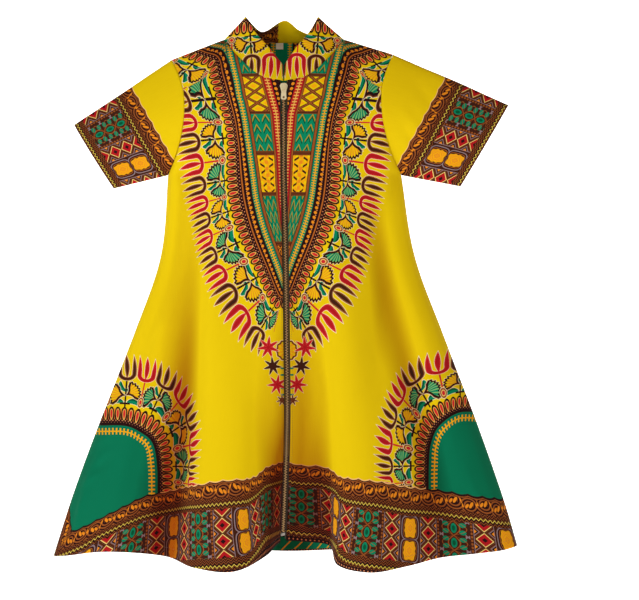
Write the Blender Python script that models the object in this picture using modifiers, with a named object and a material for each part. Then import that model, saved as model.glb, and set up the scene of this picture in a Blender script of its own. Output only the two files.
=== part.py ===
# Blender 4.5: models a short-sleeved A-line dashiki dress with a standing collar and a full-length
# front zip, hanging open and hollow. Run with blender --background --python part.py.
# Metres, Z up. The front faces -Y, and the origin is the middle of the neck at shoulder height.
# Sizes in the tables below are millimetres. Left and right are the viewer's, so left is -X.

import math
from collections import namedtuple

import bmesh
import bpy
import numpy as np
from mathutils import Matrix, Vector

MM = 0.001

# Cloth and seams
CLOTH = 1.4
SEAM = 0.4
SHOULDER_SEAM = 1.4
NECK_SEAM = 1.1
ARM_SEAM = 1.2
UNDERARM_SEAM = 2.4

# Levels from the chest down to the hem, and the half width of the hanging dress at each
LEVEL_Z = (-232, -370, -500, -650, -780)
HALF_WIDTH = {-1: (200, 212, 256, 315, 363, 397), 1: (200, 223, 270, 327, 373, 400)}
SWAY = (0, 3, 5, 6, 2, -2)
HEM = len(LEVEL_Z)

# Neck and shoulders
NECK_POINT = {-1: (-105, 0, 0), 1: (103, 0, 0)}
SHOULDER_TIP = {-1: (-193.5, 0, -34), 1: (186, 0, -25)}
NECK_SHARE = 0.55
NECK_FRONT = ((0, -58, -79), (37, -53, -70), (75, -34, -37))
NECK_BACK = ((0, 52, 4.5), (55, 45, 4), (90, 24, 2))
ARM_DEPTH = {-1: 38, 1: 34}
ARM_HOLLOW = ((0, 0), (0.16, 15), (0.35, 25), (0.55, 28), (0.7, 25), (0.85, 15), (1, 0))
YOKE_ROUND = 2.4
ARM_HOLLOW_FADE = 1.6
ARM_SWELL = 0.8

# Sleeves: the cuff's top and bottom corners, and half its opening from front to back
CUFF_TOP = {-1: (-362, 0, -146), 1: (385, 0, -112)}
CUFF_BOTTOM = {-1: (-294, 0, -255), 1: (302.5, 0, -251.5)}
CUFF_DEPTH = 17
CUFF_ROUND = 0.6

# Zip
ZIP_GAP = 7.3
TAPE = 0.8
TAPE_INNER = 3.6
TAPE_OUTER = 13
TAPE_TOP = -81
TAPE_BOTTOM = -853
TAPE_SEAT = 0.9
CHAIN_HALF = 3.2
CHAIN_THICK = 2.6
CHAIN_GAP = 0.8
SLIDER_TOP = -83
SLIDER_LENGTH = 14
SLIDER_OUTLINE = ((-2.2, 0), (-5, -1.2), (-6.5, -4.2), (-6.2, -6.5), (-4.9, -11), (-4.2, -14))
PLATE = 1.8
CORE_HALF = 2.8
CORE_INSET = 1
JOIN = 0.5
PIVOT_DROP = 6
BRIDGE_RISE = 4.4
BRIDGE_THICK = 1.3
BRIDGE_HALF = 1.5
BRIDGE_HOLE = 2.1
PULL_LENGTH = 22
PULL_THICK = 1.4
PULL_BAR = 0.75
PULL_WINDOW = 8
PULL_EYE = 1.8
PULL_NECK = 7.3
PULL_TOP_HALF = 3.8
PULL_BOTTOM_HALF = 4.8
PULL_CORNER = (1.8, 2.5)
PULL_PLAY = 0.8
EYE_RISE = 4
EYE_SIDES = 16
STOP_TOP = -841
STOP_LENGTH = 5
STOP_THICK = 3.4

# Label
LABEL_WIDTH = 12
LABEL_DROP = 11
LABEL_THICK = 0.6
LABEL_X = -9.5
LABEL_TOP = 4

# Mesh density
LEVEL_ROWS = 15
YOKE_ROWS = (0.15, 0.3, 0.45, 0.6, 0.73, 0.84, 0.92, 0.97, 0.993, 1)
FRONT_COLUMNS = (15, 14)
BACK_COLUMNS = (11, 12)
SIDE_CROWDING = 1.5
CURVE_STEPS = 24
NECK_STEPS = 40
TRIED_LEVELS = 80
SLEEVE_STEPS = 18
SLEEVE_RINGS = 6
COLLAR_STEPS = 52
COLLAR_RINGS = 4
COLLAR_END = 1
WELD = 0.01

# Colour, roughness and metallic value of each kind of piece
CLOTH_LOOK = ((0.79, 0.6, 0.005), 0.62, 0)
COLLAR_LOOK = ((0.6, 0.4, 0.02), 0.62, 0)
TAPE_LOOK = ((0.02, 0.012, 0.01), 0.85, 0)
CHAIN_LOOK = ((0.28, 0.17, 0.07), 0.4, 1)
SLIDER_LOOK = ((0.75, 0.62, 0.4), 0.3, 1)
STOP_LOOK = ((0.35, 0.33, 0.3), 0.4, 1)
LABEL_LOOK = ((0.8, 0.8, 0.78), 0.7, 0)

Fold = namedtuple("Fold", "name chest_x hem_x hem_z stands_out")
Edge = namedtuple("Edge", "name share x y z")

# Fold lines from centre front to each side seam: where each runs at the chest and at the hem, how
# low its hem hangs, and how far it stands out to the front at each level.
FRONT_FOLDS = {
    -1: (
        Fold("beside the zip", 24, 26, -872, (62, 67, 73, 78, 82, 78)),
        Fold("lobe", 62, 78, -889, (60, 68, 79, 95, 115, 132)),
        Fold("lobe flank", 110, 145, -890, (53, 60, 68, 78, 90, 94)),
        Fold("valley", 152, 203, -882, (40, 38, 36, 33, 31, 30)),
        Fold("rise", 174, 255, -876, (28, 30, 32, 34, 34, 32)),
        Fold("side flute", 190, 310, -873, (18, 23, 30, 38, 42, 42)),
        Fold("side edge", 197, 372, -882, (8, 11, 17, 23, 27, 28)),
    ),
    1: (
        Fold("tuck floor", 22, 40, -856, (62, 66, 70, 71, 60, 40)),
        Fold("tuck corner", 44, 76, -859, (61, 67, 74, 79, 72, 50)),
        Fold("tuck wall", 62, 92, -884, (60, 68, 77, 89, 99, 101)),
        Fold("lobe", 88, 142, -890, (56, 65, 78, 96, 116, 134)),
        Fold("lobe flank", 120, 205, -886, (49, 54, 61, 76, 92, 102)),
        Fold("valley", 150, 265, -878, (39, 38, 39, 47, 57, 66)),
        Fold("side flute", 178, 330, -875, (26, 31, 39, 46, 48, 44)),
        Fold("side edge", 196, 376, -872, (8, 12, 18, 24, 28, 27)),
    ),
}
BACK_FOLDS = {
    -1: (
        Fold("lobe", 62, 118, -896, (47, 56, 66, 82, 98, 112)),
        Fold("valley", 122, 210, -892, (38, 41, 44, 48, 52, 56)),
        Fold("side flute", 168, 298, -888, (25, 32, 42, 55, 68, 78)),
        Fold("side edge", 197, 370, -885, (8, 12, 19, 26, 31, 33)),
    ),
    1: (
        Fold("lobe", 66, 140, -896, (46, 56, 68, 86, 102, 116)),
        Fold("valley", 126, 228, -888, (37, 39, 42, 45, 48, 50)),
        Fold("side flute", 170, 308, -880, (25, 32, 42, 57, 70, 78)),
        Fold("side edge", 196, 374, -872, (8, 12, 19, 26, 31, 32)),
    ),
}
CENTRE_FRONT = Fold("centre front", 0, 0, -856, (62, 66, 70, 70, 58, 36))
CENTRE_BACK = Fold("centre back", 0, 14, -887, (50, 55, 58, 56, 52, 46))
SIDE_HEM = {-1: -887, 1: -869}

# The collar's top edge, by its share of the way round from the left end
COLLAR_TOP = (
    Edge("left end", 0, -1.7, -36, -49),
    Edge("left front", 0.11, -31, -31, -12),
    Edge("left rise", 0.175, -46, -25, 5),
    Edge("left shoulder", 0.225, -56, -15, 20),
    Edge("left tip", 0.283, -67, 0, 40),
    Edge("left dip", 0.37, -42, 18, 18),
    Edge("centre back", 0.5, 3, 20, 37),
    Edge("right dip", 0.57, 24, 20, 21),
    Edge("right back", 0.65, 48, 15, 15),
    Edge("right tip", 0.717, 57.5, 0, 40),
    Edge("right shoulder", 0.775, 48, -15, 20),
    Edge("right rise", 0.825, 39, -25, 5),
    Edge("right front", 0.89, 25, -31, -12),
    Edge("right end", 1, 0.1, -36, -49),
)


def clear_scene():
    for obj in list(bpy.data.objects):
        bpy.data.objects.remove(obj, do_unlink=True)


def smooth(knots, values, at):
    """Values on a smooth curve through the given values, one row for each knot."""
    knots = np.asarray(knots, float)
    values = np.asarray(values, float).reshape(len(knots), -1)
    step = np.diff(knots)[:, None]
    slope = np.diff(values, axis=0) / step
    share = step[:-1] / (step[:-1] + step[1:])
    inner = slope[:-1] * (1 - share) + slope[1:] * share
    tangent = np.concatenate([slope[:1], inner, slope[-1:]])
    at = np.atleast_1d(np.asarray(at, float))
    i = np.clip(np.searchsorted(knots, at, "right") - 1, 0, len(knots) - 2)
    span = step[i]
    s = ((at - knots[i])[:, None]) / span
    return (
        values[i] * (1 + 2 * s) * (1 - s) ** 2
        + tangent[i] * span * s * (1 - s) ** 2
        + values[i + 1] * s * s * (3 - 2 * s)
        + tangent[i + 1] * span * s * s * (s - 1)
    )


def lengths(points):
    """The distance along a line of points to each of them."""
    steps = np.linalg.norm(np.diff(points, axis=0), axis=1)
    return np.concatenate([[0], np.cumsum(steps)])


def along(points, distances):
    """Points at these distances along a line of points."""
    reach = lengths(points)
    return np.stack([np.interp(distances, reach, points[:, k]) for k in range(3)], axis=1)


def spread(side):
    """How far the dress has opened from its chest width to its hem width, at each level."""
    width = np.array(HALF_WIDTH[side], float)
    return (width - width[0]) / (width[-1] - width[0])


def fold_line(fold, side, facing):
    """One fold line from the chest to the hem, a point for each level."""
    x = side * (fold.chest_x + (fold.hem_x - fold.chest_x) * spread(side))
    z = np.array(LEVEL_Z + (fold.hem_z,), float)
    y = facing * np.array(fold.stands_out, float)
    middle = 1 - (x / HALF_WIDTH[side][-1]) ** 2
    return np.stack([x + np.array(SWAY) * middle, y, z], axis=1)


def side_line(side):
    """The side seam from the chest to the hem."""
    z = LEVEL_Z + (SIDE_HEM[side],)
    return np.stack([side * np.array(HALF_WIDTH[side], float), np.zeros(len(z)), z], axis=1)


def ring_lines():
    """Every fold line in order round the dress, from centre front by the left, and the places in
    it of the side and centre back lines."""
    lines = [fold_line(CENTRE_FRONT, 1, -1)]
    lines += [fold_line(fold, -1, -1) for fold in FRONT_FOLDS[-1]]
    left = len(lines)
    lines.append(side_line(-1))
    lines += [fold_line(fold, -1, 1) for fold in reversed(BACK_FOLDS[-1])]
    back = len(lines)
    lines.append(fold_line(CENTRE_BACK, 1, 1))
    lines += [fold_line(fold, 1, 1) for fold in BACK_FOLDS[1]]
    right = len(lines)
    lines.append(side_line(1))
    lines += [fold_line(fold, 1, -1) for fold in reversed(FRONT_FOLDS[1])]
    return np.array(lines), (left, back, right)


LINES, (LEFT_SIDE, BACK_MIDDLE, RIGHT_SIDE) = ring_lines()


def ring(level):
    """A dense closed line round the dress at a level, with CURVE_STEPS points for each fold."""
    points = smooth(range(HEM + 1), LINES.transpose(1, 0, 2).reshape(HEM + 1, -1), level)
    points = points.reshape(-1, 3)
    lap = 3
    padded = np.concatenate([points[-lap:], points, points[: lap + 1]])
    knots = lengths(padded)
    inside = [
        knots[lap + i] + (knots[lap + i + 1] - knots[lap + i]) * np.arange(CURVE_STEPS) / CURVE_STEPS
        for i in range(len(points))
    ]
    return smooth(knots, padded, np.concatenate(inside))


def half_ring(level, side, facing):
    """The part of a ring from centre front or centre back out to one side."""
    points = ring(level)
    left, back, right = (n * CURVE_STEPS for n in (LEFT_SIDE, BACK_MIDDLE, RIGHT_SIDE))
    if facing < 0 and side < 0:
        return points[: left + 1]
    if facing < 0:
        return np.concatenate([points[right:], points[:1]])[::-1]
    if side < 0:
        return points[left : back + 1][::-1]
    return points[back : right + 1]


def neck_line(side, facing):
    """The neck seam from centre front or centre back up to the shoulder."""
    table = NECK_FRONT if facing < 0 else NECK_BACK
    ends = np.array([(side * x, y, z) for x, y, z in table] + [NECK_POINT[side]], float)
    reach = lengths(ends)
    return smooth(reach, ends, np.linspace(0, reach[-1], NECK_STEPS))


def yoke_top(side, facing, share):
    """Points of the neck seam, then of the shoulder seam, for shares from the middle out."""
    neck = neck_line(side, facing)
    on_neck = along(neck, np.clip(share / NECK_SHARE, 0, 1) * lengths(neck)[-1])
    out = np.clip((share - NECK_SHARE) / (1 - NECK_SHARE), 0, 1)[:, None]
    start, end = np.array(NECK_POINT[side], float), np.array(SHOULDER_TIP[side], float)
    return np.where(share[:, None] <= NECK_SHARE, on_neck, start + (end - start) * out)


def row(side, facing, level, share):
    """Points across one half of the front or back, by share from the middle out to the side. Levels
    run from the hem up to 0 at the chest, and on through the yoke to its top at -1."""
    share = np.asarray(share, float)
    half = half_ring(max(level, 0), side, facing)
    points = along(half, share * lengths(half)[-1])
    if level >= 0:
        return points
    up = min(-level, 1)
    top = yoke_top(side, facing, share)
    depth, top_depth = facing * points[:, 1], facing * top[:, 1]
    points += (top - points) * up
    out = np.clip((share - NECK_SHARE) / (1 - NECK_SHARE), 0, 1)
    points[:, 0] -= side * smooth(*zip(*ARM_HOLLOW), up)[0, 0] * out**ARM_HOLLOW_FADE
    rounding = (1 - up**YOKE_ROUND) ** 0.5
    swell = ARM_DEPTH[facing] * max(math.sin(math.pi * up), 0) ** ARM_SWELL * out**0.5
    thin = 1 - depth / (facing * half[0, 1])
    points[:, 1] = facing * (top_depth + (depth - top_depth) * rounding + swell * thin)
    return points


def grid_normals(grid):
    """A unit normal at each point of a grid of points."""
    normal = np.cross(np.gradient(grid, axis=1), np.gradient(grid, axis=0))
    return normal / np.linalg.norm(normal, axis=2, keepdims=True)


def plain_material(name, colour, roughness, metallic):
    material = bpy.data.materials.new(name)
    material.use_nodes = True
    shader = material.node_tree.nodes["Principled BSDF"]
    shader.inputs["Base Color"].default_value = (*colour, 1)
    shader.inputs["Roughness"].default_value = roughness
    shader.inputs["Metallic"].default_value = metallic
    material.diffuse_color = (*colour, 1)
    return material


def add_object(name, mesh, look, collection):
    mesh.materials.append(plain_material(name, *look))
    obj = bpy.data.objects.new(name, mesh)
    collection.objects.link(obj)
    return obj


def cloth(name, grid, thickness, look, collection, joined=False):
    """A wall of even thickness on a grid of points. A joined grid closes on itself across."""
    rows, columns = grid.shape[:2]
    mesh = bpy.data.meshes.new(name)
    spans = columns if joined else columns - 1
    faces = [
        (r * columns + c, r * columns + (c + 1) % columns,
         (r + 1) * columns + (c + 1) % columns, (r + 1) * columns + c)
        for r in range(rows - 1)
        for c in range(spans)
    ]
    mesh.from_pydata((grid.reshape(-1, 3) * MM).tolist(), [], faces)
    obj = add_object(name, mesh, look, collection)
    wall = obj.modifiers.new("Wall", "SOLIDIFY")
    wall.thickness = thickness * MM
    wall.offset = 0
    wall.use_even_offset = True
    return obj


def from_form(name, form, look, collection):
    mesh = bpy.data.meshes.new(name)
    form.to_mesh(mesh)
    form.free()
    return add_object(name, mesh, look, collection)


def plate(name, outline, back, front, look, collection):
    """A flat plate: an outline of (x, z) points, from one depth to another. Depths grow to the front."""
    curve = bpy.data.curves.new(name, "CURVE")
    curve.dimensions = "2D"
    curve.fill_mode = "BOTH"
    curve.extrude = (front - back) / 2 * MM
    spline = curve.splines.new("POLY")
    spline.points.add(len(outline) - 1)
    for point, (x, z) in zip(spline.points, outline):
        point.co = (x * MM, z * MM, 0, 1)
    spline.use_cyclic_u = True
    drawn = bpy.data.objects.new(name + " outline", curve)
    collection.objects.link(drawn)
    drawn.location = (0, -(back + front) / 2 * MM, 0)
    drawn.rotation_euler = (math.pi / 2, 0, 0)
    bpy.context.view_layer.update()
    graph = bpy.context.evaluated_depsgraph_get()
    form = bmesh.new()
    form.from_mesh(bpy.data.meshes.new_from_object(drawn.evaluated_get(graph)))
    bmesh.ops.remove_doubles(form, verts=form.verts, dist=WELD * MM)
    obj = from_form(name, form, look, collection)
    obj.matrix_world = drawn.matrix_world
    bpy.data.objects.remove(drawn, do_unlink=True)
    return obj


def box(name, half_width, top, bottom, back, front, look, collection):
    """A box centred across the zip, from one depth to another."""
    form = bmesh.new()
    size = Matrix.Diagonal((2 * half_width, front - back, top - bottom, 1))
    middle = Matrix.Translation((0, -(back + front) / 2, (top + bottom) / 2))
    bmesh.ops.create_cube(form, size=1, matrix=Matrix.Scale(MM, 4) @ middle @ size)
    return from_form(name, form, look, collection)


def combine(obj, other, operation):
    """A Boolean modifier that adds or cuts another object, which stays out of the render."""
    other.hide_render = True
    other.display_type = "WIRE"
    change = obj.modifiers.new(other.name, "BOOLEAN")
    change.operation = operation
    change.solver = "EXACT"
    change.object = other


def column_shares(neck_column, counts):
    """Places of a panel's columns across a row, even up to the neck point and closer to the side."""
    inner = np.linspace(0, neck_column, counts[0])
    left_over = np.linspace(1, 0, counts[1])[1:] ** SIDE_CROWDING
    return np.concatenate([inner, 1 - (1 - neck_column) * left_over])


def front_panel(side, collection):
    name = {-1: "front_left", 1: "front_right"}[side]
    inner_yoke = ZIP_GAP / lengths(half_ring(0, side, -1))[-1]
    neck_column = (NECK_SHARE - inner_yoke) / (1 - inner_yoke)
    columns = column_shares(neck_column, FRONT_COLUMNS)
    rows = []
    for level in panel_levels():
        length = lengths(half_ring(max(level, 0), side, -1))[-1]
        inner, outer = ZIP_GAP / length, 1 - SEAM / 2 / length
        rows.append(row(side, -1, level, inner + (outer - inner) * columns))
    grid = np.array(rows)
    grid[-1, :, 1] -= SHOULDER_SEAM / 2
    return cloth(name, grid, CLOTH, CLOTH_LOOK, collection)


def panel_levels():
    return list(np.linspace(HEM, 0, LEVEL_ROWS)) + [-up for up in YOKE_ROWS]


def back_panel(collection):
    columns = column_shares(NECK_SHARE, BACK_COLUMNS)
    rows = []
    for level in panel_levels():
        halves = []
        for side in (-1, 1):
            length = lengths(half_ring(max(level, 0), side, 1))[-1]
            halves.append(row(side, 1, level, columns * (1 - SEAM / 2 / length)))
        rows.append(np.concatenate([halves[0][:0:-1], halves[1]]))
    grid = np.array(rows)
    grid[-1, :, 1] += SHOULDER_SEAM / 2
    return cloth("back", grid, CLOTH, CLOTH_LOOK, collection)


def armhole(side, facing):
    """The armhole seam of the front or back, from the underarm up to the shoulder tip."""
    heights = np.linspace(0, 1, SLEEVE_STEPS + 1)
    return np.array([row(side, facing, -up, [1])[0] for up in heights])


def sleeve(side, collection):
    name = {-1: "sleeve_left", 1: "sleeve_right"}[side]
    up = np.linspace(0, 1, SLEEVE_STEPS + 1)[:, None]
    low, high = np.array(CUFF_BOTTOM[side], float), np.array(CUFF_TOP[side], float)
    loops = []
    for facing in (-1, 1):
        start = armhole(side, facing)
        end = low + (high - low) * up
        end[:, 1] += facing * CUFF_DEPTH * np.sin(np.pi * up[:, 0]).clip(0) ** CUFF_ROUND
        away = (end - start) / np.linalg.norm(end - start, axis=1, keepdims=True)
        start += away * (ARM_SEAM + (UNDERARM_SEAM - ARM_SEAM) * (1 - up) ** 2)
        loops.append((start, end))
    start = np.concatenate([loops[0][0], loops[1][0][-2:0:-1]])
    end = np.concatenate([loops[0][1], loops[1][1][-2:0:-1]])
    grid = np.array([start + (end - start) * k for k in np.linspace(0, 1, SLEEVE_RINGS)])
    return cloth(name, grid, CLOTH, CLOTH_LOOK, collection, joined=True)


def neck_loop():
    """The neck seam all round, from the left of centre front by the back to the right of it."""
    pieces = [
        neck_line(-1, -1), neck_line(-1, 1)[::-1], neck_line(1, 1), neck_line(1, -1)[::-1],
    ]
    return np.concatenate([pieces[0]] + [piece[1:] for piece in pieces[1:]])


def collar(collection):
    shares = np.linspace(0, 1, COLLAR_STEPS)
    loop = neck_loop()
    reach = lengths(loop)[-1]
    start = along(loop, COLLAR_END + (reach - 2 * COLLAR_END) * shares)
    top = smooth([e.share for e in COLLAR_TOP], [(e.x, e.y, e.z) for e in COLLAR_TOP], shares)
    up = (top - start) / np.linalg.norm(top - start, axis=1, keepdims=True)
    start += up * NECK_SEAM
    grid = np.array([start + (top - start) * k for k in np.linspace(0, 1, COLLAR_RINGS)])
    return cloth("collar", grid, CLOTH, COLLAR_LOOK, collection)


def levels_between(facing, top_z, bottom_z):
    """The panels' own levels between two heights at centre front or back, with a level at each end."""
    yoke = np.linspace(-1, 0, TRIED_LEVELS)
    tried = np.concatenate([yoke[:-1], np.linspace(0, HEM, TRIED_LEVELS)])
    heights = np.array([row(-1, facing, level, [0])[0, 2] for level in tried])
    low, high = np.interp((-bottom_z, -top_z), -heights, tried)
    return [low] + [level for level in panel_levels() if high < level < low] + [high]


def strip(name, facing, across, levels, inset, thickness, look, collection):
    """A strip that follows the front or back at a depth inside it. Across holds distances from the
    middle, below zero to the left."""
    rows = []
    for level in levels:
        points = []
        for x in across:
            side = -1 if x < 0 else 1
            length = lengths(half_ring(max(level, 0), side, facing))[-1]
            points.append(row(side, facing, level, [abs(x) / length])[0])
        rows.append(points)
    grid = np.array(rows)
    normals = grid_normals(grid)
    normals *= np.sign(facing * normals[..., 1:2])
    return cloth(name, grid - normals * inset, thickness, look, collection)


def zip_pieces(collection, cutters):
    """The tapes and chain behind the front edges, with the slider, its pull and the bottom stop."""
    inset = CLOTH / 2 + TAPE_SEAT + TAPE / 2
    whole = levels_between(-1, TAPE_TOP, TAPE_BOTTOM)
    for name, side in (("zip_tape_left", -1), ("zip_tape_right", 1)):
        across = [side * x for x in (TAPE_INNER, (TAPE_INNER + TAPE_OUTER) / 2, TAPE_OUTER)]
        strip(name, -1, sorted(across), whole, inset, TAPE, TAPE_LOOK, collection)
    across = (-CHAIN_HALF, 0, CHAIN_HALF)
    chain_top = SLIDER_TOP - SLIDER_LENGTH - CHAIN_GAP
    levels = levels_between(-1, chain_top, STOP_TOP + CHAIN_GAP)
    strip("zip_chain", -1, across, levels, inset, CHAIN_THICK, CHAIN_LOOK, collection)
    levels = levels_between(-1, STOP_TOP, STOP_TOP - STOP_LENGTH)
    strip("zip_bottom_stop", -1, across, levels, inset, STOP_THICK, STOP_LOOK, collection)

    middle = SLIDER_TOP - SLIDER_LENGTH / 2
    level = levels_between(-1, middle, middle)[0]
    tape_middle = -row(-1, -1, level, [0])[0, 1] - inset
    plate_front = slider(tape_middle, collection, cutters)
    pull(plate_front + (BRIDGE_RISE - BRIDGE_THICK) / 2, collection, cutters)


def slider(tape_middle, collection, cutters):
    """The slider round the tapes, with a post between its plates and a bridge in front. It gives the
    depth of its front."""
    plate_back = tape_middle + TAPE / 2 + SEAM
    plate_front = plate_back + PLATE
    rear_front = tape_middle - TAPE / 2 - TAPE_SEAT
    outline = [(x, SLIDER_TOP + z) for x, z in SLIDER_OUTLINE]
    outline += [(-x, z) for x, z in reversed(outline)]
    body = plate("zip_slider", outline, plate_back, plate_front, SLIDER_LOOK, collection)
    rear = plate("slider_rear", outline, rear_front - PLATE, rear_front, SLIDER_LOOK, cutters)
    post = box(
        "slider_post", CORE_HALF, SLIDER_TOP - CORE_INSET, SLIDER_TOP - SLIDER_LENGTH + CORE_INSET,
        rear_front - JOIN, plate_back + JOIN, SLIDER_LOOK, cutters,
    )
    pivot = SLIDER_TOP - PIVOT_DROP
    reach = BRIDGE_HOLE + BRIDGE_THICK
    bridge = box(
        "slider_bridge", BRIDGE_HALF, pivot + reach, pivot - reach,
        plate_front - JOIN, plate_front + BRIDGE_RISE, SLIDER_LOOK, cutters,
    )
    hole = box(
        "bridge_hole", 2 * BRIDGE_HALF, pivot + BRIDGE_HOLE, pivot - BRIDGE_HOLE,
        plate_front, plate_front + BRIDGE_RISE - BRIDGE_THICK, SLIDER_LOOK, cutters,
    )
    combine(bridge, hole, "DIFFERENCE")
    for piece in (rear, post, bridge):
        combine(body, piece, "UNION")
    return plate_front


def pull(axis_depth, collection, cutters):
    """The tab that hangs by its top bar in the slider's bridge, with its origin on the bar."""
    corner_x, corner_z = PULL_CORNER
    sides = [
        (PULL_TOP_HALF, PULL_BAR), (PULL_TOP_HALF, -PULL_NECK),
        (PULL_BOTTOM_HALF, corner_z - PULL_LENGTH), (PULL_BOTTOM_HALF - corner_x, -PULL_LENGTH),
    ]
    outline = sides + [(-x, z) for x, z in reversed(sides)]
    back, front = -PULL_THICK / 2, PULL_THICK / 2
    tab = plate("zip_pull", outline, back, front, SLIDER_LOOK, collection)
    window = box(
        "pull_window", BRIDGE_HALF + PULL_PLAY, -PULL_BAR, -PULL_WINDOW,
        2 * back, 2 * front, SLIDER_LOOK, cutters,
    )
    form = bmesh.new()
    middle = Matrix.Translation((0, 0, EYE_RISE - PULL_LENGTH)) @ Matrix.Rotation(math.pi / 2, 4, "X")
    bmesh.ops.create_cone(
        form, cap_ends=True, segments=EYE_SIDES, radius1=PULL_EYE, radius2=PULL_EYE,
        depth=2 * PULL_THICK, matrix=Matrix.Scale(MM, 4) @ middle,
    )
    eye = from_form("pull_eye", form, SLIDER_LOOK, cutters)
    for cutter in (window, eye):
        cutter.parent = tab
        cutter.matrix_parent_inverse = tab.matrix_basis.inverted()
        combine(tab, cutter, "DIFFERENCE")
    tab.location = Vector((0, -axis_depth, SLIDER_TOP - PIVOT_DROP)) * MM


def label(collection):
    """The size tab that hangs from the back neck seam, on the inside of the back."""
    levels = levels_between(1, LABEL_TOP, LABEL_TOP - LABEL_DROP)
    across = np.linspace(LABEL_X - LABEL_WIDTH / 2, LABEL_X + LABEL_WIDTH / 2, 4)
    inset = CLOTH / 2 + SEAM + LABEL_THICK / 2
    strip("size_label", 1, across, levels, inset, LABEL_THICK, LABEL_LOOK, collection)


def build():
    clear_scene()
    dress = bpy.data.collections.new("Dashiki dress")
    cutters = bpy.data.collections.new("Cutters")
    for collection in (dress, cutters):
        bpy.context.scene.collection.children.link(collection)
    cutters.hide_render = True
    for side in (-1, 1):
        front_panel(side, dress)
        sleeve(side, dress)
    back_panel(dress)
    collar(dress)
    zip_pieces(dress, cutters)
    label(dress)


build()
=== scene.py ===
# How the printed cotton dashiki dress looks: printed cloth, zip, stitching, light and camera.
# The tables and outlines in this file are millimetres. Left is the viewer's left, and the front faces -Y.
import math

import bmesh
import bpy
import numpy as np
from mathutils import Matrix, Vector


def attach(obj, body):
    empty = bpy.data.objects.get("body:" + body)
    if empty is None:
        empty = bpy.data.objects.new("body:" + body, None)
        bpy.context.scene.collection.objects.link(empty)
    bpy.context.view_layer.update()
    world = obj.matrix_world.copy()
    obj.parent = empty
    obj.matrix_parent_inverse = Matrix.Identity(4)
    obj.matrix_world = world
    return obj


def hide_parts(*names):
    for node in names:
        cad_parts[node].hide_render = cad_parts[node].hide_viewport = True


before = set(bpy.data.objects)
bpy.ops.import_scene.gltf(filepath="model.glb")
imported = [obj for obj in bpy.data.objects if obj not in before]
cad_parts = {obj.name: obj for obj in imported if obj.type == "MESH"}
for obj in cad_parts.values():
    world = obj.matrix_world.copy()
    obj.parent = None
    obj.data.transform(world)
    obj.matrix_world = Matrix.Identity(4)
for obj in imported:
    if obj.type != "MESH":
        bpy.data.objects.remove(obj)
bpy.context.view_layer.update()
scene = bpy.context.scene
mm = 0.001


# The hanging dress, worked out as in the part: fold lines from centre front round to each side, where each
# runs at the chest and the hem, how low it hangs, and how far it stands out at each level.
dress = {
    "levelZ": (-232, -370, -500, -650, -780),
    "halfWidth": {-1: (200, 212, 256, 315, 363, 397), 1: (200, 223, 270, 327, 373, 400)},
    "sway": (0, 3, 5, 6, 2, -2),
    "sideHem": {-1: -887, 1: -869},
    "centreFront": (0, 0, -856, (62, 66, 70, 70, 58, 36)),
    "centreBack": (0, 14, -887, (50, 55, 58, 56, 52, 46)),
    "frontFolds": {
        -1: (
            (24, 26, -872, (62, 67, 73, 78, 82, 78)), (62, 78, -889, (60, 68, 79, 95, 115, 132)),
            (110, 145, -890, (53, 60, 68, 78, 90, 94)), (152, 203, -882, (40, 38, 36, 33, 31, 30)),
            (174, 255, -876, (28, 30, 32, 34, 34, 32)), (190, 310, -873, (18, 23, 30, 38, 42, 42)),
            (197, 372, -882, (8, 11, 17, 23, 27, 28)),
        ),
        1: (
            (22, 40, -856, (62, 66, 70, 71, 60, 40)), (44, 76, -859, (61, 67, 74, 79, 72, 50)),
            (62, 92, -884, (60, 68, 77, 89, 99, 101)), (88, 142, -890, (56, 65, 78, 96, 116, 134)),
            (120, 205, -886, (49, 54, 61, 76, 92, 102)), (150, 265, -878, (39, 38, 39, 47, 57, 66)),
            (178, 330, -875, (26, 31, 39, 46, 48, 44)), (196, 376, -872, (8, 12, 18, 24, 28, 27)),
        ),
    },
    "backFolds": {
        -1: (
            (62, 118, -896, (47, 56, 66, 82, 98, 112)), (122, 210, -892, (38, 41, 44, 48, 52, 56)),
            (168, 298, -888, (25, 32, 42, 55, 68, 78)), (197, 370, -885, (8, 12, 19, 26, 31, 33)),
        ),
        1: (
            (66, 140, -896, (46, 56, 68, 86, 102, 116)), (126, 228, -888, (37, 39, 42, 45, 48, 50)),
            (170, 308, -880, (25, 32, 42, 57, 70, 78)), (196, 374, -872, (8, 12, 19, 26, 31, 32)),
        ),
    },
    "curveSteps": 24,
}
yoke = {
    "neckPoint": {-1: (-105, 0, 0), 1: (103, 0, 0)},
    "shoulderTip": {-1: (-193.5, 0, -34), 1: (186, 0, -25)},
    "neckShare": 0.55, "neckFront": ((0, -58, -79), (37, -53, -70), (75, -34, -37)),
    "neckBack": ((0, 52, 4.5), (55, 45, 4), (90, 24, 2)),
    "armDepth": {-1: 38, 1: 34},
    "armHollow": ((0, 0), (0.16, 15), (0.35, 25), (0.55, 28), (0.7, 25), (0.85, 15), (1, 0)),
    "hollowFade": 1.6, "swell": 0.8, "round": 2.4, "neckSteps": 40,
}
hemLevel = len(dress["levelZ"])


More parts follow.
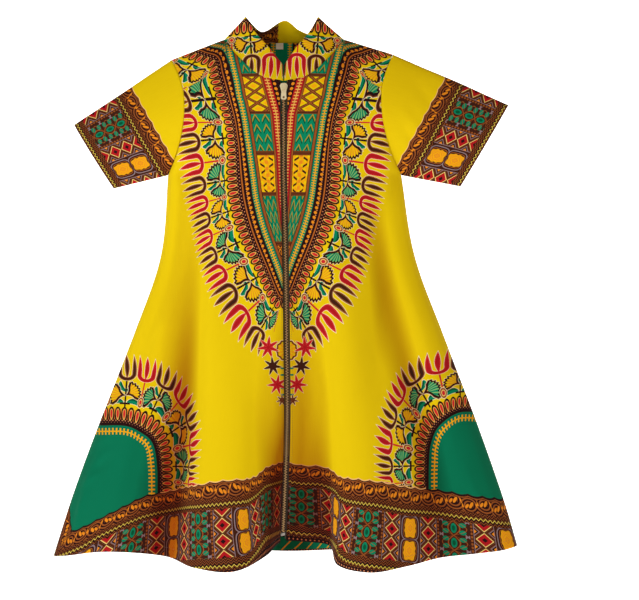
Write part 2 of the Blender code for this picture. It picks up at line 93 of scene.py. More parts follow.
def smooth(knots, values, at):
    knots = np.asarray(knots, float)
    values = np.asarray(values, float).reshape(len(knots), -1)
    step = np.diff(knots)[:, None]
    slope = np.diff(values, axis=0) / step
    share = step[:-1] / (step[:-1] + step[1:])
    inner = slope[:-1] * (1 - share) + slope[1:] * share
    tangent = np.concatenate([slope[:1], inner, slope[-1:]])
    at = np.atleast_1d(np.asarray(at, float))
    i = np.clip(np.searchsorted(knots, at, "right") - 1, 0, len(knots) - 2)
    span = step[i]
    s = (at - knots[i])[:, None] / span
    return (
        values[i] * (1 + 2 * s) * (1 - s) ** 2
        + tangent[i] * span * s * (1 - s) ** 2
        + values[i + 1] * s * s * (3 - 2 * s)
        + tangent[i + 1] * span * s * s * (s - 1)
    )


def lengths(points):
    steps = np.linalg.norm(np.diff(points, axis=0), axis=1)
    return np.concatenate([[0], np.cumsum(steps)])


def along(points, distances):
    reach = lengths(points)
    return np.stack([np.interp(distances, reach, points[:, k]) for k in range(3)], axis=1)


def foldLine(fold, side, facing):
    chestX, hemX, hemZ, standsOut = fold
    width = np.array(dress["halfWidth"][side], float)
    opened = (width - width[0]) / (width[-1] - width[0])
    x = side * (chestX + (hemX - chestX) * opened)
    z = np.array(dress["levelZ"] + (hemZ,), float)
    middle = 1 - (x / width[-1]) ** 2
    return np.stack([x + np.array(dress["sway"]) * middle, facing * np.array(standsOut, float), z], axis=1)


def sideLine(side):
    z = dress["levelZ"] + (dress["sideHem"][side],)
    return np.stack([side * np.array(dress["halfWidth"][side], float), np.zeros(len(z)), z], axis=1)


def ringLines():
    front, back = dress["frontFolds"], dress["backFolds"]
    left = [foldLine(fold, -1, -1) for fold in front[-1]] + [sideLine(-1)]
    behind = [foldLine(fold, -1, 1) for fold in reversed(back[-1])]
    lines = [foldLine(dress["centreFront"], 1, -1)] + left + behind
    places = [len(left), len(lines)]
    lines += [foldLine(dress["centreBack"], 1, 1)] + [foldLine(fold, 1, 1) for fold in back[1]]
    places.append(len(lines))
    lines += [sideLine(1)] + [foldLine(fold, 1, -1) for fold in reversed(front[1])]
    return np.array(lines), places


foldLines, (leftSide, backMiddle, rightSide) = ringLines()


def ring(level):
    points = smooth(range(hemLevel + 1), foldLines.transpose(1, 0, 2).reshape(hemLevel + 1, -1), level)
    points = points.reshape(-1, 3)
    lap = 3
    padded = np.concatenate([points[-lap:], points, points[: lap + 1]])
    knots = lengths(padded)
    part = np.arange(dress["curveSteps"]) / dress["curveSteps"]
    inside = [knots[lap + i] + (knots[lap + i + 1] - knots[lap + i]) * part for i in range(len(points))]
    return smooth(knots, padded, np.concatenate(inside))


def halfRing(level, side, facing):
    points = ring(level)
    left, back, right = (n * dress["curveSteps"] for n in (leftSide, backMiddle, rightSide))
    if facing < 0 and side < 0:
        return points[: left + 1]
    if facing < 0:
        return np.concatenate([points[right:], points[:1]])[::-1]
    if side < 0:
        return points[left : back + 1][::-1]
    return points[back : right + 1]


def neckLine(side, facing):
    table = yoke["neckFront"] if facing < 0 else yoke["neckBack"]
    ends = np.array([(side * x, y, z) for x, y, z in table] + [yoke["neckPoint"][side]], float)
    reach = lengths(ends)
    return smooth(reach, ends, np.linspace(0, reach[-1], yoke["neckSteps"]))


def yokeTop(side, facing, share):
    neck = neckLine(side, facing)
    neckShare = yoke["neckShare"]
    onNeck = along(neck, np.clip(share / neckShare, 0, 1) * lengths(neck)[-1])
    out = np.clip((share - neckShare) / (1 - neckShare), 0, 1)[:, None]
    start, end = np.array(yoke["neckPoint"][side], float), np.array(yoke["shoulderTip"][side], float)
    return np.where(share[:, None] <= neckShare, onNeck, start + (end - start) * out)


def clothRow(side, facing, level, share):
    # levels run from the hem up to 0 at the chest, and on through the yoke to its top at -1
    share = np.asarray(share, float)
    half = halfRing(max(level, 0), side, facing)
    points = along(half, share * lengths(half)[-1])
    if level >= 0:
        return points
    up = min(-level, 1)
    top = yokeTop(side, facing, share)
    depth, topDepth = facing * points[:, 1], facing * top[:, 1]
    points += (top - points) * up
    out = np.clip((share - yoke["neckShare"]) / (1 - yoke["neckShare"]), 0, 1)
    points[:, 0] -= side * smooth(*zip(*yoke["armHollow"]), up)[0, 0] * out ** yoke["hollowFade"]
    rounding = (1 - up ** yoke["round"]) ** 0.5
    swell = yoke["armDepth"][facing] * max(math.sin(math.pi * up), 0) ** yoke["swell"] * out**0.5
    thin = 1 - depth / (facing * half[0, 1])
    points[:, 1] = facing * (topDepth + (depth - topDepth) * rounding + swell * thin)
    return points


def gridNormals(grid):
    normal = np.cross(np.gradient(grid, axis=1), np.gradient(grid, axis=0))
    return normal / np.maximum(np.linalg.norm(normal, axis=2, keepdims=True), 1e-9)


# Small creases laid on the folds: where each starts and ends (x, z), its width, and how far it
# stands out, or is pressed in where that is below zero.
creases = {
    "frontLeft": (
        (-198, -250, -318, -640, 16, 4.6), (-170, -240, -290, -640, 15, -4.2),
        (-138, -380, -142, -830, 26, 4.4), (-82, -380, -76, -850, 24, -4.4),
        (-128, -300, -150, -640, 26, 1.6), (-60, -560, -40, -820, 18, -2.4),
        (-26, -430, -30, -700, 10, 1.2), (-182, -176, -150, -250, 9, 2.2),
        (-188, -205, -168, -300, 8, -1.8), (-352, -812, -296, -690, 9, 3.2),
        (-340, -770, -286, -706, 8, -2.4), (-354, -842, -330, -766, 5, 3.6),
        (-343, -766, -306, -734, 5, 2.8), (-332, -708, -275, -664, 8, 2.2),
        (-318, -640, -262, -600, 14, -1.6), (-110, -150, -60, -190, 14, 0.9),
        (-240, -560, -232, -760, 12, 1.3), (-14, -120, -12, -330, 5, -0.8), (-15, -500, -13, -780, 5, 0.8),
    ),
    "frontRight": (
        (128, -200, 146, -640, 22, -5), (58, -240, 82, -760, 26, 5), (52, -520, 84, -840, 13, -2.2),
        (30, -450, 40, -740, 11, 1.4), (180, -180, 146, -262, 9, 2), (188, -210, 170, -310, 8, -1.6),
        (352, -820, 300, -700, 10, 1.8), (330, -650, 270, -610, 14, -1.4), (100, -140, 66, -196, 14, 0.8),
        (245, -600, 262, -800, 14, -1.4), (14, -150, 12, -360, 5, 0.7), (15, -520, 13, -800, 5, -0.8),
    ),
    "back": (
        (-176, -250, -205, -560, 18, -2.2), (-90, -200, -118, -620, 28, 1.8), (0, -120, 6, -520, 22, -1.8),
        (96, -230, 130, -640, 26, 1.7), (176, -240, 210, -540, 18, -2), (-60, -30, -120, -120, 16, 1.6),
        (62, -30, 118, -116, 16, 1.5), (-190, -190, -140, -262, 10, 2), (188, -186, 140, -256, 10, 2),
        (-280, -600, -330, -820, 16, 1.6), (286, -610, 336, -800, 16, 1.5), (-30, -640, -44, -860, 16, -2),
        (60, -660, 78, -860, 14, -1.8), (-150, -690, -176, -870, 12, 1.6),
    ),
}


def crease(grid, folds, turned=1, seamCalm=16):
    # a soft ridge or trough along each line, fading out at its ends and beside the seams, over seamCalm mm;
    # turned is -1 where the grid's normals face inwards
    normals = gridNormals(grid) * turned
    x, z = grid[..., 0], grid[..., 2]
    lift = np.zeros(x.shape)
    for startX, startZ, endX, endZ, width, height in folds:
        run = np.array([endX - startX, endZ - startZ], float)
        length = np.linalg.norm(run)
        run /= length
        t = ((x - startX) * run[0] + (z - startZ) * run[1]) / length
        bow = 0.06 * length * np.sin(np.pi * np.clip(t, 0, 1))
        across = (x - startX) * run[1] - (z - startZ) * run[0] + bow
        fade = np.clip(t * (1 - t) * 4, 0, 1) ** 1.5
        lift += height * fade * np.exp(-((across / width) ** 2))
    if seamCalm:
        reach = np.cumsum(np.linalg.norm(np.diff(grid, axis=1, prepend=grid[:, :1]), axis=2), axis=1)
        lift *= np.clip(np.minimum(reach, reach[:, -1:] - reach) / seamCalm, 0, 1)
    return grid + normals * lift[..., None]


def ripple(grid, size, pitchX, pitchZ):
    # the slight unevenness of hanging cloth, from a few waves of unlike lengths
    normals = gridNormals(grid)
    x, z = grid[..., 0], grid[..., 2]
    waves = np.sin(x / pitchX + np.sin(z / pitchZ) * 1.3) * np.sin(z / (1.7 * pitchZ) + x / 90)
    waves += 0.5 * np.sin(x / (0.55 * pitchX) - z / 47) * np.cos(z / (0.8 * pitchZ))
    return grid + normals * (size * waves)[..., None]


# Where the print lies. Each edge is a line that the rings of print run round: the count of flowers along it,
# a point (x, z), the way its rings face in degrees below level, and how much they are stretched there: one
# factor, or where the flat distances in ringMarks show.
printEdges = {
    "drop": (
        (-0.5, 0, -431, 90, 30, 49, 110), (0, 0, -431, 90, 30, 49, 110), (0.5, 0, -432, 77, 30, 49, 110),
        (1, 1, -432, 60, 31, 49, 109), (2, 16, -393, 30, 31, 45, 114), (3, 38, -333, 25, 37.5, 62, 113),
        (4, 51, -284, 19, 40.5, 55.5, 108), (5, 57.5, -240, 9, 39.4, 49.7, 112),
        (6, 67.5, -172, 5, 29, 48.6, 113), (7, 80.5, -104, 5, 34, 53, 116),
        (7.25, 91, -62, 18, 37, 54, 118), (7.5, 100, -31, 46, 38, 56, 122), (8, 127, -14, 46, 38, 56, 122),
        (9, 190, 10, 46, 38, 56, 122),
    ),
    "dropBack": (
        (-0.5, 0, -128, 90, 1), (0, 0, -128, 90, 1), (1, 11, -98, 45, 1), (2, 19, -62, 15, 1),
        (2.6, 20, -20, 2, 1), (4, 20, 70, 0, 1),
    ),
    "cornerLeft": (
        (-1, 338, -664, -100, 31, 51, 115), (0, 272, -660, -87, 31, 51, 115),
        (1, 240, -673, -66, 36, 62, 117), (2, 222, -692, -34, 29, 54, 91), (3, 215.5, -731, -3, 26, 46, 69),
        (4, 215, -782, 0, 26, 46, 69),
    ),
    "cornerRight": (
        (-1, 350, -644, -106, 28, 47, 102), (0, 298, -638, -93, 28, 47, 102),
        (1, 263.5, -658, -61, 34, 60, 114), (2, 248, -689, -34, 29, 54, 100),
        (3, 244, -726, -3, 25, 46, 88), (4, 243, -776, 0, 25, 46, 88),
    ),
}
# The ladder beside the zip: its outer edge (z, x). The drop's panels lie between it and the green band.
ladderEdge = ((-20, 60), (-73, 36), (-135, 19), (-179, 15), (-204, 12), (-280, 8.7), (-321, 4), (-350, -6))
bandInner = ((-20, 82), (-73, 68), (-135, 57.5), (-195, 45), (-237, 39), (-279, 31), (-321, 19.5), (-390, 3))
# The hem border's lines (x, its scrolled top edge, first zigzag, second zigzag), as they fall on the folds.
borderLines = {
    "frontLeft": (
        (0, -717, -750, -836), (29, -725, -756, -841), (44, -738, -770, -863), (58, -742, -778, -878),
        (87, -743, -780, -880), (120, -748, -785, -885), (154, -758, -792, -892), (188, -770, -803, -902),
        (212, -775, -808, -906), (240, -781, -815, -912), (276, -799, -829, -925), (312, -817, -846, -942),
        (340, -832, -864, -958), (396, -856, -890, -985),
    ),
    "frontRight": (
        (0, -717, -750, -836), (30, -724, -755, -842), (62, -724, -755, -843), (80, -729, -760, -848),
        (88, -735, -764, -853), (92, -739, -772, -866), (104, -740, -777, -874), (128, -742, -780, -878),
        (152, -745, -783, -881), (176, -750, -789, -886), (200, -757, -796, -892), (236, -764, -802, -900),
        (262, -768, -806, -904), (330, -780, -818, -916), (365, -787, -826, -924), (400, -795, -834, -932),
    ),
    "back": (
        (-397, -852, -888, -980), (-330, -812, -846, -940), (-210, -768, -803, -898),
        (-100, -742, -777, -872), (14, -728, -763, -858), (140, -738, -773, -868), (228, -752, -788, -884),
        (330, -778, -816, -912), (400, -794, -832, -930),
    ),
}
borderPlan = {
    "firstZigzag": 36, "secondZigzag": 136,
    "backDrop": 9.5,         # how much lower the back is cut in the cloth's border
    # where the columns fall (share of the panel's width, mm along the border): green chains at 0, 152, 304
    "columns": {
        "frontLeft": ((0, -71), (0.095, 0), (0.195, 76), (0.39, 152), (0.544, 228), (0.697, 304), (1, 456)),
        "frontRight": (
            (0, -24), (0.065, 0), (0.183, 42), (0.29, 110), (0.374, 152), (0.554, 228), (0.737, 304),
            (0.947, 380), (1, 400),
        ),
        "back": ((-1, -456), (1, 456)),
    },
    # the band up the left front's selvage: height, width
    "selvage": ((-900, 42), (-838, 33), (-817, 19), (-798, 5), (-785, -2), (-700, -40)),
}


loopRing = 26                # mm out, where the run along an edge is counted
combLine = 8                 # mm in, where the run along the corners' comb is counted
cornerArc = (8.5, 13.4)      # the black arc round the corners' green
ringMarks = (30, 48, 112)    # mm out on the flat cloth
farIn, farOut = -200, 300    # beyond these, distances don't matter


def ringPlace(edge, x, z):
    # for each point: the count of flowers along an edge, the distance out from it, and the run along it in mm
    table = np.array(printEdges[edge], float)
    counts = np.linspace(table[0, 0], table[-1, 0], 600)
    base = smooth(table[:, 0], table[:, 1:], counts)
    turn = np.radians(base[:, 2])
    facing = -1 if edge.startswith("corner") else 1     # the corners' rings run towards the middle
    out = np.stack([facing * np.cos(turn), -np.sin(turn)], axis=1)
    run = lengths(base[:, :2] + out * loopRing)
    combRun = lengths(base[:, :2] - out * combLine)
    # the corners' black arc as shown and flat, or the drop's edge
    inner = ((0, 4.5), cornerArc) if facing < 0 else ((0,), (0,))
    flatX, flatZ = x.ravel(), z.ravel()
    found = np.zeros((len(flatX), 4))
    for i, (px, pz) in enumerate(zip(flatX, flatZ)):
        gapX, gapZ = px - base[:, 0], pz - base[:, 1]
        side = gapX * out[:, 1] - gapZ * out[:, 0]
        reach = gapX * out[:, 0] + gapZ * out[:, 1]
        crossing = np.nonzero(side[:-1] * side[1:] <= 0)[0]
        if len(crossing):
            k = crossing[np.argmin(np.abs(reach[crossing]))]
            part = side[k] / (side[k] - side[k + 1]) if side[k] != side[k + 1] else 0.0
        else:
            k, part = (0 if abs(side[0]) < abs(side[-1]) else len(counts) - 2), 0.5
        distance = reach[k] + (reach[k + 1] - reach[k]) * part
        if table.shape[1] == 5:
            distance /= base[k, 3]
        else:
            shown = (farIn, *inner[0], *base[k, 3:], farOut)
            distance = np.interp(distance, shown, (farIn, *inner[1], *ringMarks, farOut))
        ahead = [line[k] + (line[k + 1] - line[k]) * part for line in (counts, run, combRun)]
        found[i] = ahead[0], distance, ahead[1], ahead[2]
    return found.reshape(x.shape + (4,))


def pair(one, two):
    return np.stack([one, two], axis=-1)


def between(table, at, column=1):
    rows = sorted(table)
    return np.interp(at, [row[0] for row in rows], [row[column] for row in rows])


def borderDown(panel, x, z):
    # the flat distance below the border's scrolled top edge, from the lines' fall on the folds
    top, first, second = (between(borderLines[panel], x, column) for column in (1, 2, 3))
    start, end = borderPlan["firstZigzag"], borderPlan["secondZigzag"]
    upper = (top - z) / (top - first) * start
    lower = start + (first - z) / (first - second) * (end - start)
    return np.where(z > first, upper, lower)


def newPiece(name, verts, faces, materials):
    # a mesh given in millimetres, in the scene
    mesh = bpy.data.meshes.new(name)
    mesh.from_pydata((np.asarray(verts) * mm).tolist(), [], faces)
    for material in materials:
        mesh.materials.append(material)
    obj = bpy.data.objects.new(name, mesh)
    scene.collection.objects.link(obj)
    return obj


def clothPiece(node, grid, layers, looks, thickness):
    # a thin shell on a grid of points in place of a imported node, with the print's layers and the painted
    # shade of the folds as UV maps
    rows, columns = grid.shape[:2]
    first = np.arange(columns if "sleeve" in node else columns - 1)
    second = (first + 1) % columns
    loop = np.stack([first, second, second + columns, first + columns], axis=1)
    corners = (loop + columns * np.arange(rows - 1)[:, None, None]).reshape(-1, 4)
    points = grid.reshape(-1, 3)
    obj = newPiece("cotton_" + node, points, corners.tolist(), [finish[look] for look in looks])
    mesh = obj.data
    slot = np.zeros(len(corners), np.int32)
    if len(layers) > 1:
        middle = points[corners].mean(axis=1)
        slot = (middle[:, 2] < between(meetsAt, np.abs(middle[:, 0]))).astype(np.int32)
    mesh.polygons.foreach_set("material_index", slot)
    for layer in layers[0]:
        values = np.stack([region[layer].reshape(-1, 2) for region in layers])[slot[:, None], corners]
        mesh.uv_layers.new(name=layer).data.foreach_set("uv", values.reshape(-1).astype(np.float32))
    mesh.shade_smooth()
    wall = obj.modifiers.new("Wall", "SOLIDIFY")
    wall.thickness, wall.offset = thickness * mm, 0
    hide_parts(node)
    return obj, grid


def feed(node, values):
    # links or sets a node's sockets: Strands, other sockets, inks by name, or plain values
    for key, value in values.items():
        value = getattr(value, "socket", value)
        if isinstance(value, bpy.types.NodeSocket):
            node.id_data.links.new(value, node.inputs[key])
        else:
            node.inputs[key].default_value = linear(inks[value]) if isinstance(value, str) else value
    return node


def newNode(tree, kind, values={}, **settings):
    node = tree.nodes.new("ShaderNode" + kind)
    for name, setting in settings.items():
        setattr(node, name, setting)
    return feed(node, values)


def blend(tree, share, low, high, mode="MIX"):
    # the colour between two, as a socket
    return newNode(tree, "Mix", {0: share, 6: low, 7: high}, data_type="RGBA", blend_type=mode).outputs[2]


def noise(tree, scale, detail, where=None):
    where = where or tree.nodes.new("ShaderNodeTexCoord").outputs["Object"]
    node = newNode(tree, "TexNoise", {"Scale": scale, "Detail": detail, "Vector": where})
    return Strand(tree, node.outputs["Fac"])


# Numbers that change over the cloth. Arithmetic on them adds Math nodes to the tree they are in.
class Strand:
    def __init__(self, tree, socket):
        self.tree, self.socket = tree, socket

    def math(self, operation, *others):
        node = newNode(self.tree, "Math", dict(enumerate((self,) + others)), operation=operation)
        return Strand(self.tree, node.outputs[0])

    def timesPlus(self, factor, added):
        return self.math("MULTIPLY_ADD", factor, added)

    def within(self, low, high):
        return self.math("COMPARE", (low + high) / 2, (high - low) / 2)

    def repeat(self, pitch):
        # how far it is past the middle of its own repeat, from half a pitch below to half a pitch above
        return self.math("WRAP", pitch / 2, -pitch / 2)


operators = {
    "add": "ADD", "sub": "SUBTRACT", "mul": "MULTIPLY", "lt": "LESS_THAN", "gt": "GREATER_THAN",
    "and": "MULTIPLY", "or": "MAXIMUM", "abs": "ABSOLUTE",
}
for sign, operation in operators.items():
    setattr(Strand, "__%s__" % sign, lambda self, *others, kind=operation: self.math(kind, *others))


def oval(x, y, halfX, halfY):
    # below 1 inside an oval of those half sizes
    return (x * x).timesPlus(1 / halfX**2, y * y * (1 / halfY**2))


def linear(colour):
    # a colour as a screen shows it, 0 to 255, as the linear value that nodes take
    shares = [c / 255 for c in colour]
    return tuple(s / 12.92 if s <= 0.04045 else ((s + 0.055) / 1.055) ** 2.4 for s in shares) + (1,)


inks = {
    "ground": (229, 203, 8), "gold": (236, 172, 14), "amber": (226, 142, 34), "lemon": (228, 206, 84),
    # the corners' green is the print's green darkened a little as painted shade
    "green": (4, 134, 98), "greenShade": (2, 88, 58), "cornerGreen": (3, 116, 84), "mint": (126, 186, 110),
    "brown": (108, 56, 28), "line": (148, 82, 36), "tan": (176, 98, 38), "darkBrown": (62, 30, 20),
    "dark": (38, 16, 18), "orange": (228, 140, 30), "red": (204, 42, 48), "dots": (216, 140, 96),
    "olive": (170, 146, 34), "deepRed": (172, 24, 32), "cream": (236, 206, 120), "straw": (226, 178, 84),
    "pale": (238, 228, 196), "grey": (138, 118, 124), "pink": (240, 186, 120),
}


class Artwork:
    # inks laid one over another, and where anything has been laid
    def __init__(self, tree):
        self.tree, self.ground, self.cover = tree, "ground", None

    def over(self, mask, ink):
        # an ink on what is laid already
        self.ground = blend(self.tree, mask, self.ground, ink)

    def lay(self, mask, ink):
        self.over(mask, ink)
        self.cover = mask if self.cover is None else self.cover | mask

    def inside(self, region, *layers):
        for mask, ink in layers:
            self.over(region & mask, ink)

    def below(self, value, *steps):
        # inks one inside another, each where the value is below its limit
        for limit, ink in steps:
            self.over(value < limit, ink)


def newGroup(name, inputs, outputs):
    # a node group with named sockets: its tree, its inputs as Strands, and its output node
    tree = bpy.data.node_groups.new(name, "ShaderNodeTree")
    for label in inputs:
        tree.interface.new_socket(label, in_out="INPUT", socket_type="NodeSocketFloat")
    for label, kind in outputs:
        tree.interface.new_socket(label, in_out="OUTPUT", socket_type="NodeSocket" + kind)
    entry, leave = tree.nodes.new("NodeGroupInput"), tree.nodes.new("NodeGroupOutput")
    return tree, [Strand(tree, entry.outputs[label]) for label in inputs], leave


def artworkGroup(name, inputs, draw):
    tree, strands, leave = newGroup(name, inputs, (("Color", "Color"), ("Mask", "Float")))
    art = Artwork(tree)
    draw(art, *strands)
    feed(leave, {"Color": art.ground, "Mask": art.cover})
    return tree


# The rings of print: distances out from the edge of the green band, in mm on the flat cloth.
ringPlan = {
    "flowerPitch": 52, "dottedBand": (11.6, 17), "dotPitch": 6,
    "dotRows": (11.8, 2.7),             # where the rows start, and how high each is
    "loopPitch": 12,
    "loopGround": (22, 28.5),           # tan up to the first, then orange
    "loop": (22, 5.8, 8.8),             # middle, half width, half height
    "loopEye": ((0.3, 3.1, 6, "straw"), (0.8, 2.1, 4.6, "red")),   # up from the middle, half width and height
    "junction": 48,
    "fan": (23.8, 0.24, 0.6),           # reach, its opening at the junction, and how much wider it grows
    "fanLean": (0.35, 0.2),             # radians outwards, and how far the two of a pair differ from it
    # middle across and out, degrees, half length, half width
    "leaves": ((14, -8.6, -8, 11, 3.9), (6.4, 13.5, 64, 9.5, 3)), "stem": (30, 77),
    "crossBar": (34.4, 37.2, 8), "bud": (39, 4.8, 7),
    "frondBend": 85,                    # where a frond's outer prongs leave its rounded foot
    "prongs": 9.4,                      # from the middle prong to an outer one
    "prongHalf": 2.9, "frondEnd": 120, "sway": 2.6,
}


def drawRings(art, count, out, run):
    plan = ringPlan
    # the loops, dark and pointed at the band of small dots that they stand in, with orange cloth between them
    middle, halfWide, halfHigh = plan["loop"]
    bandStart, bandEnd = plan["dottedBand"]
    loopRun = run.repeat(plan["loopPitch"])
    loopSide = abs(loopRun)
    orangeStart, groundEnd = plan["loopGround"]
    art.lay(out.within(bandStart, groundEnd), "tan")
    art.over(out.within(orangeStart, groundEnd), "amber")
    tail = (loopSide < 2.9) & out.within(bandStart, middle)
    rise = out - middle
    art.lay(out.within(bandStart, bandEnd) | tail | (oval(loopRun, rise, halfWide, halfHigh) < 1), "dark")
    narrow = loopSide * (rise * -0.035 + 1)
    for up, halfWide, halfHigh, ink in plan["loopEye"]:
        art.over(oval(narrow, rise - up, halfWide, halfHigh) < 1, ink)
    pitch, (start, rowHigh) = plan["dotPitch"], plan["dotRows"]
    row = ((out - start) * (1 / rowHigh)).math("FLOOR")
    inRow = (out - start - rowHigh / 2).repeat(rowHigh)
    dot = oval((row * (pitch / 2) + run).repeat(pitch), inRow, 0.9, 0.75)
    art.over((dot < 1) & out.within(start, bandEnd), "dots")
    # flowers: two pairs of leaves, the stem with its cross bar, then the two fans
    pitch = plan["flowerPitch"]
    across = count * pitch
    signed = across.repeat(pitch)
    side = abs(signed)
    rise = out - plan["junction"]
    for middleAcross, middleOut, lean, halfLong, halfWide in plan["leaves"]:
        cosine, sine = math.cos(math.radians(lean)), math.sin(math.radians(lean))
        besides, beyond = side - middleAcross, rise - middleOut
        lengthways = besides.timesPlus(cosine, beyond * sine)
        curl = lengthways * lengthways * (0.022 if lean < 0 else -0.03)
        sideways = beyond.timesPlus(cosine, besides * -sine) + curl
        shape = oval(lengthways, sideways, halfLong, halfWide)
        art.lay(shape < 1.32, "pale")
        art.over(shape < 1, "green")
        art.over((shape < 1) & (sideways > 0.5), "greenShade")
    stem = (side < 1.2) & out.within(*plan["stem"])
    low, high, half = plan["crossBar"]
    art.lay(stem | (out.within(low, high) & (side < half)), "dark")
    reach, narrow, wider = plan["fan"]
    lean, differ = plan["fanLean"]
    turn = rise.math("ARCTAN2", side) - (signed.math("SIGN") * differ + lean)
    away = (side * side + rise * rise).math("SQRT")
    rays = (turn * 27).math("COSINE")
    opening = (away * (1 / 15)).math("MINIMUM", 1) * wider + narrow
    fromEdge = ((abs(turn) * -1 + opening) * away).math("MINIMUM", rays * 1.1 - away + reach)
    art.lay(fromEdge > -1, "pale")
    art.over(fromEdge > -0.4, "brown")
    art.over(fromEdge > 0.7, "dark")
    # every other flower is yellow
    fill, yellowOne = fromEdge > 3.1, count.math("ROUND").math("FLOORED_MODULO", 2) < 0.5
    petal = fill & (rays > 0.35) & (away > 8)
    art.over(fill, "green")
    art.over(fill & yellowOne, "gold")
    art.over(petal, "mint")
    art.over(petal & yellowOne, "ground")
    art.inside(fill, ((rays < -0.55) & yellowOne, "amber"), (away < 8, "amber"))
    # buds between the flowers, on the thin stems of the red fronds
    between = abs((across + pitch / 2).repeat(pitch))
    middle, halfWide, halfHigh = plan["bud"]
    bud = oval(between, out - middle, halfWide, halfHigh)
    art.lay((between < 1) & out.within(middle, plan["stem"][1]), "red")
    art.lay(bud < 1.25, "pale")
    art.below(bud, (1, "line"), (0.42, "cream"), (0.22, "red"))
    # fronds of three prongs on a rounded foot: brown over the flowers, red over the buds
    past = out - plan["frondBend"]
    swept = (past + 8) * (1 / 36)
    fromMiddle = abs(swept * swept * plan["sway"] + across.repeat(pitch / 2))
    before, after = (past * -1).math("MAXIMUM", 0), past.math("MAXIMUM", 0) * (1 / 31)
    foot = (fromMiddle * fromMiddle + before * before).math("SQRT") - plan["prongs"]
    half = plan["prongHalf"]
    outer = abs(foot) - (after * after * -half + half)
    inward = (past - 11) * (1 / 20)
    frond = outer.math("MINIMUM", fromMiddle - (inward * inward * -half + half))
    art.lay((frond < 0.55) & (out < plan["frondEnd"]), "pale")
    for limit, ink, redInk in ((0.1, "line", "red"), (-1.1, "darkBrown", "deepRed")):
        art.over(frond < limit, ink)
        art.over((frond < limit) & (between < pitch / 4), redInk)


# The hem's border, in mm down from its scrolled top edge, and the columns of its panel across.
borderBands = {
    "scroll": 26, "scrollPitch": 22, "panel": (44, 122), "zigzags": (36, 136), "foot": (142, 148),
    "greenFoot": (148, 176), "halfPeriod": 76,
    "chain": (22, 25),               # half width, pitch down
    "dotted": 24.5,
    "diamonds": (27, 57, 42, 26),    # from, to, middle, pitch down
    "cartouche": (57, 76, 38),       # from, middle, pitch down
}


def squared(x, y, halfX, halfY):
    # below 1 inside a rectangle with well rounded corners
    across, up = x * x * (1 / halfX**2), y * y * (1 / halfY**2)
    return across * across + up * up


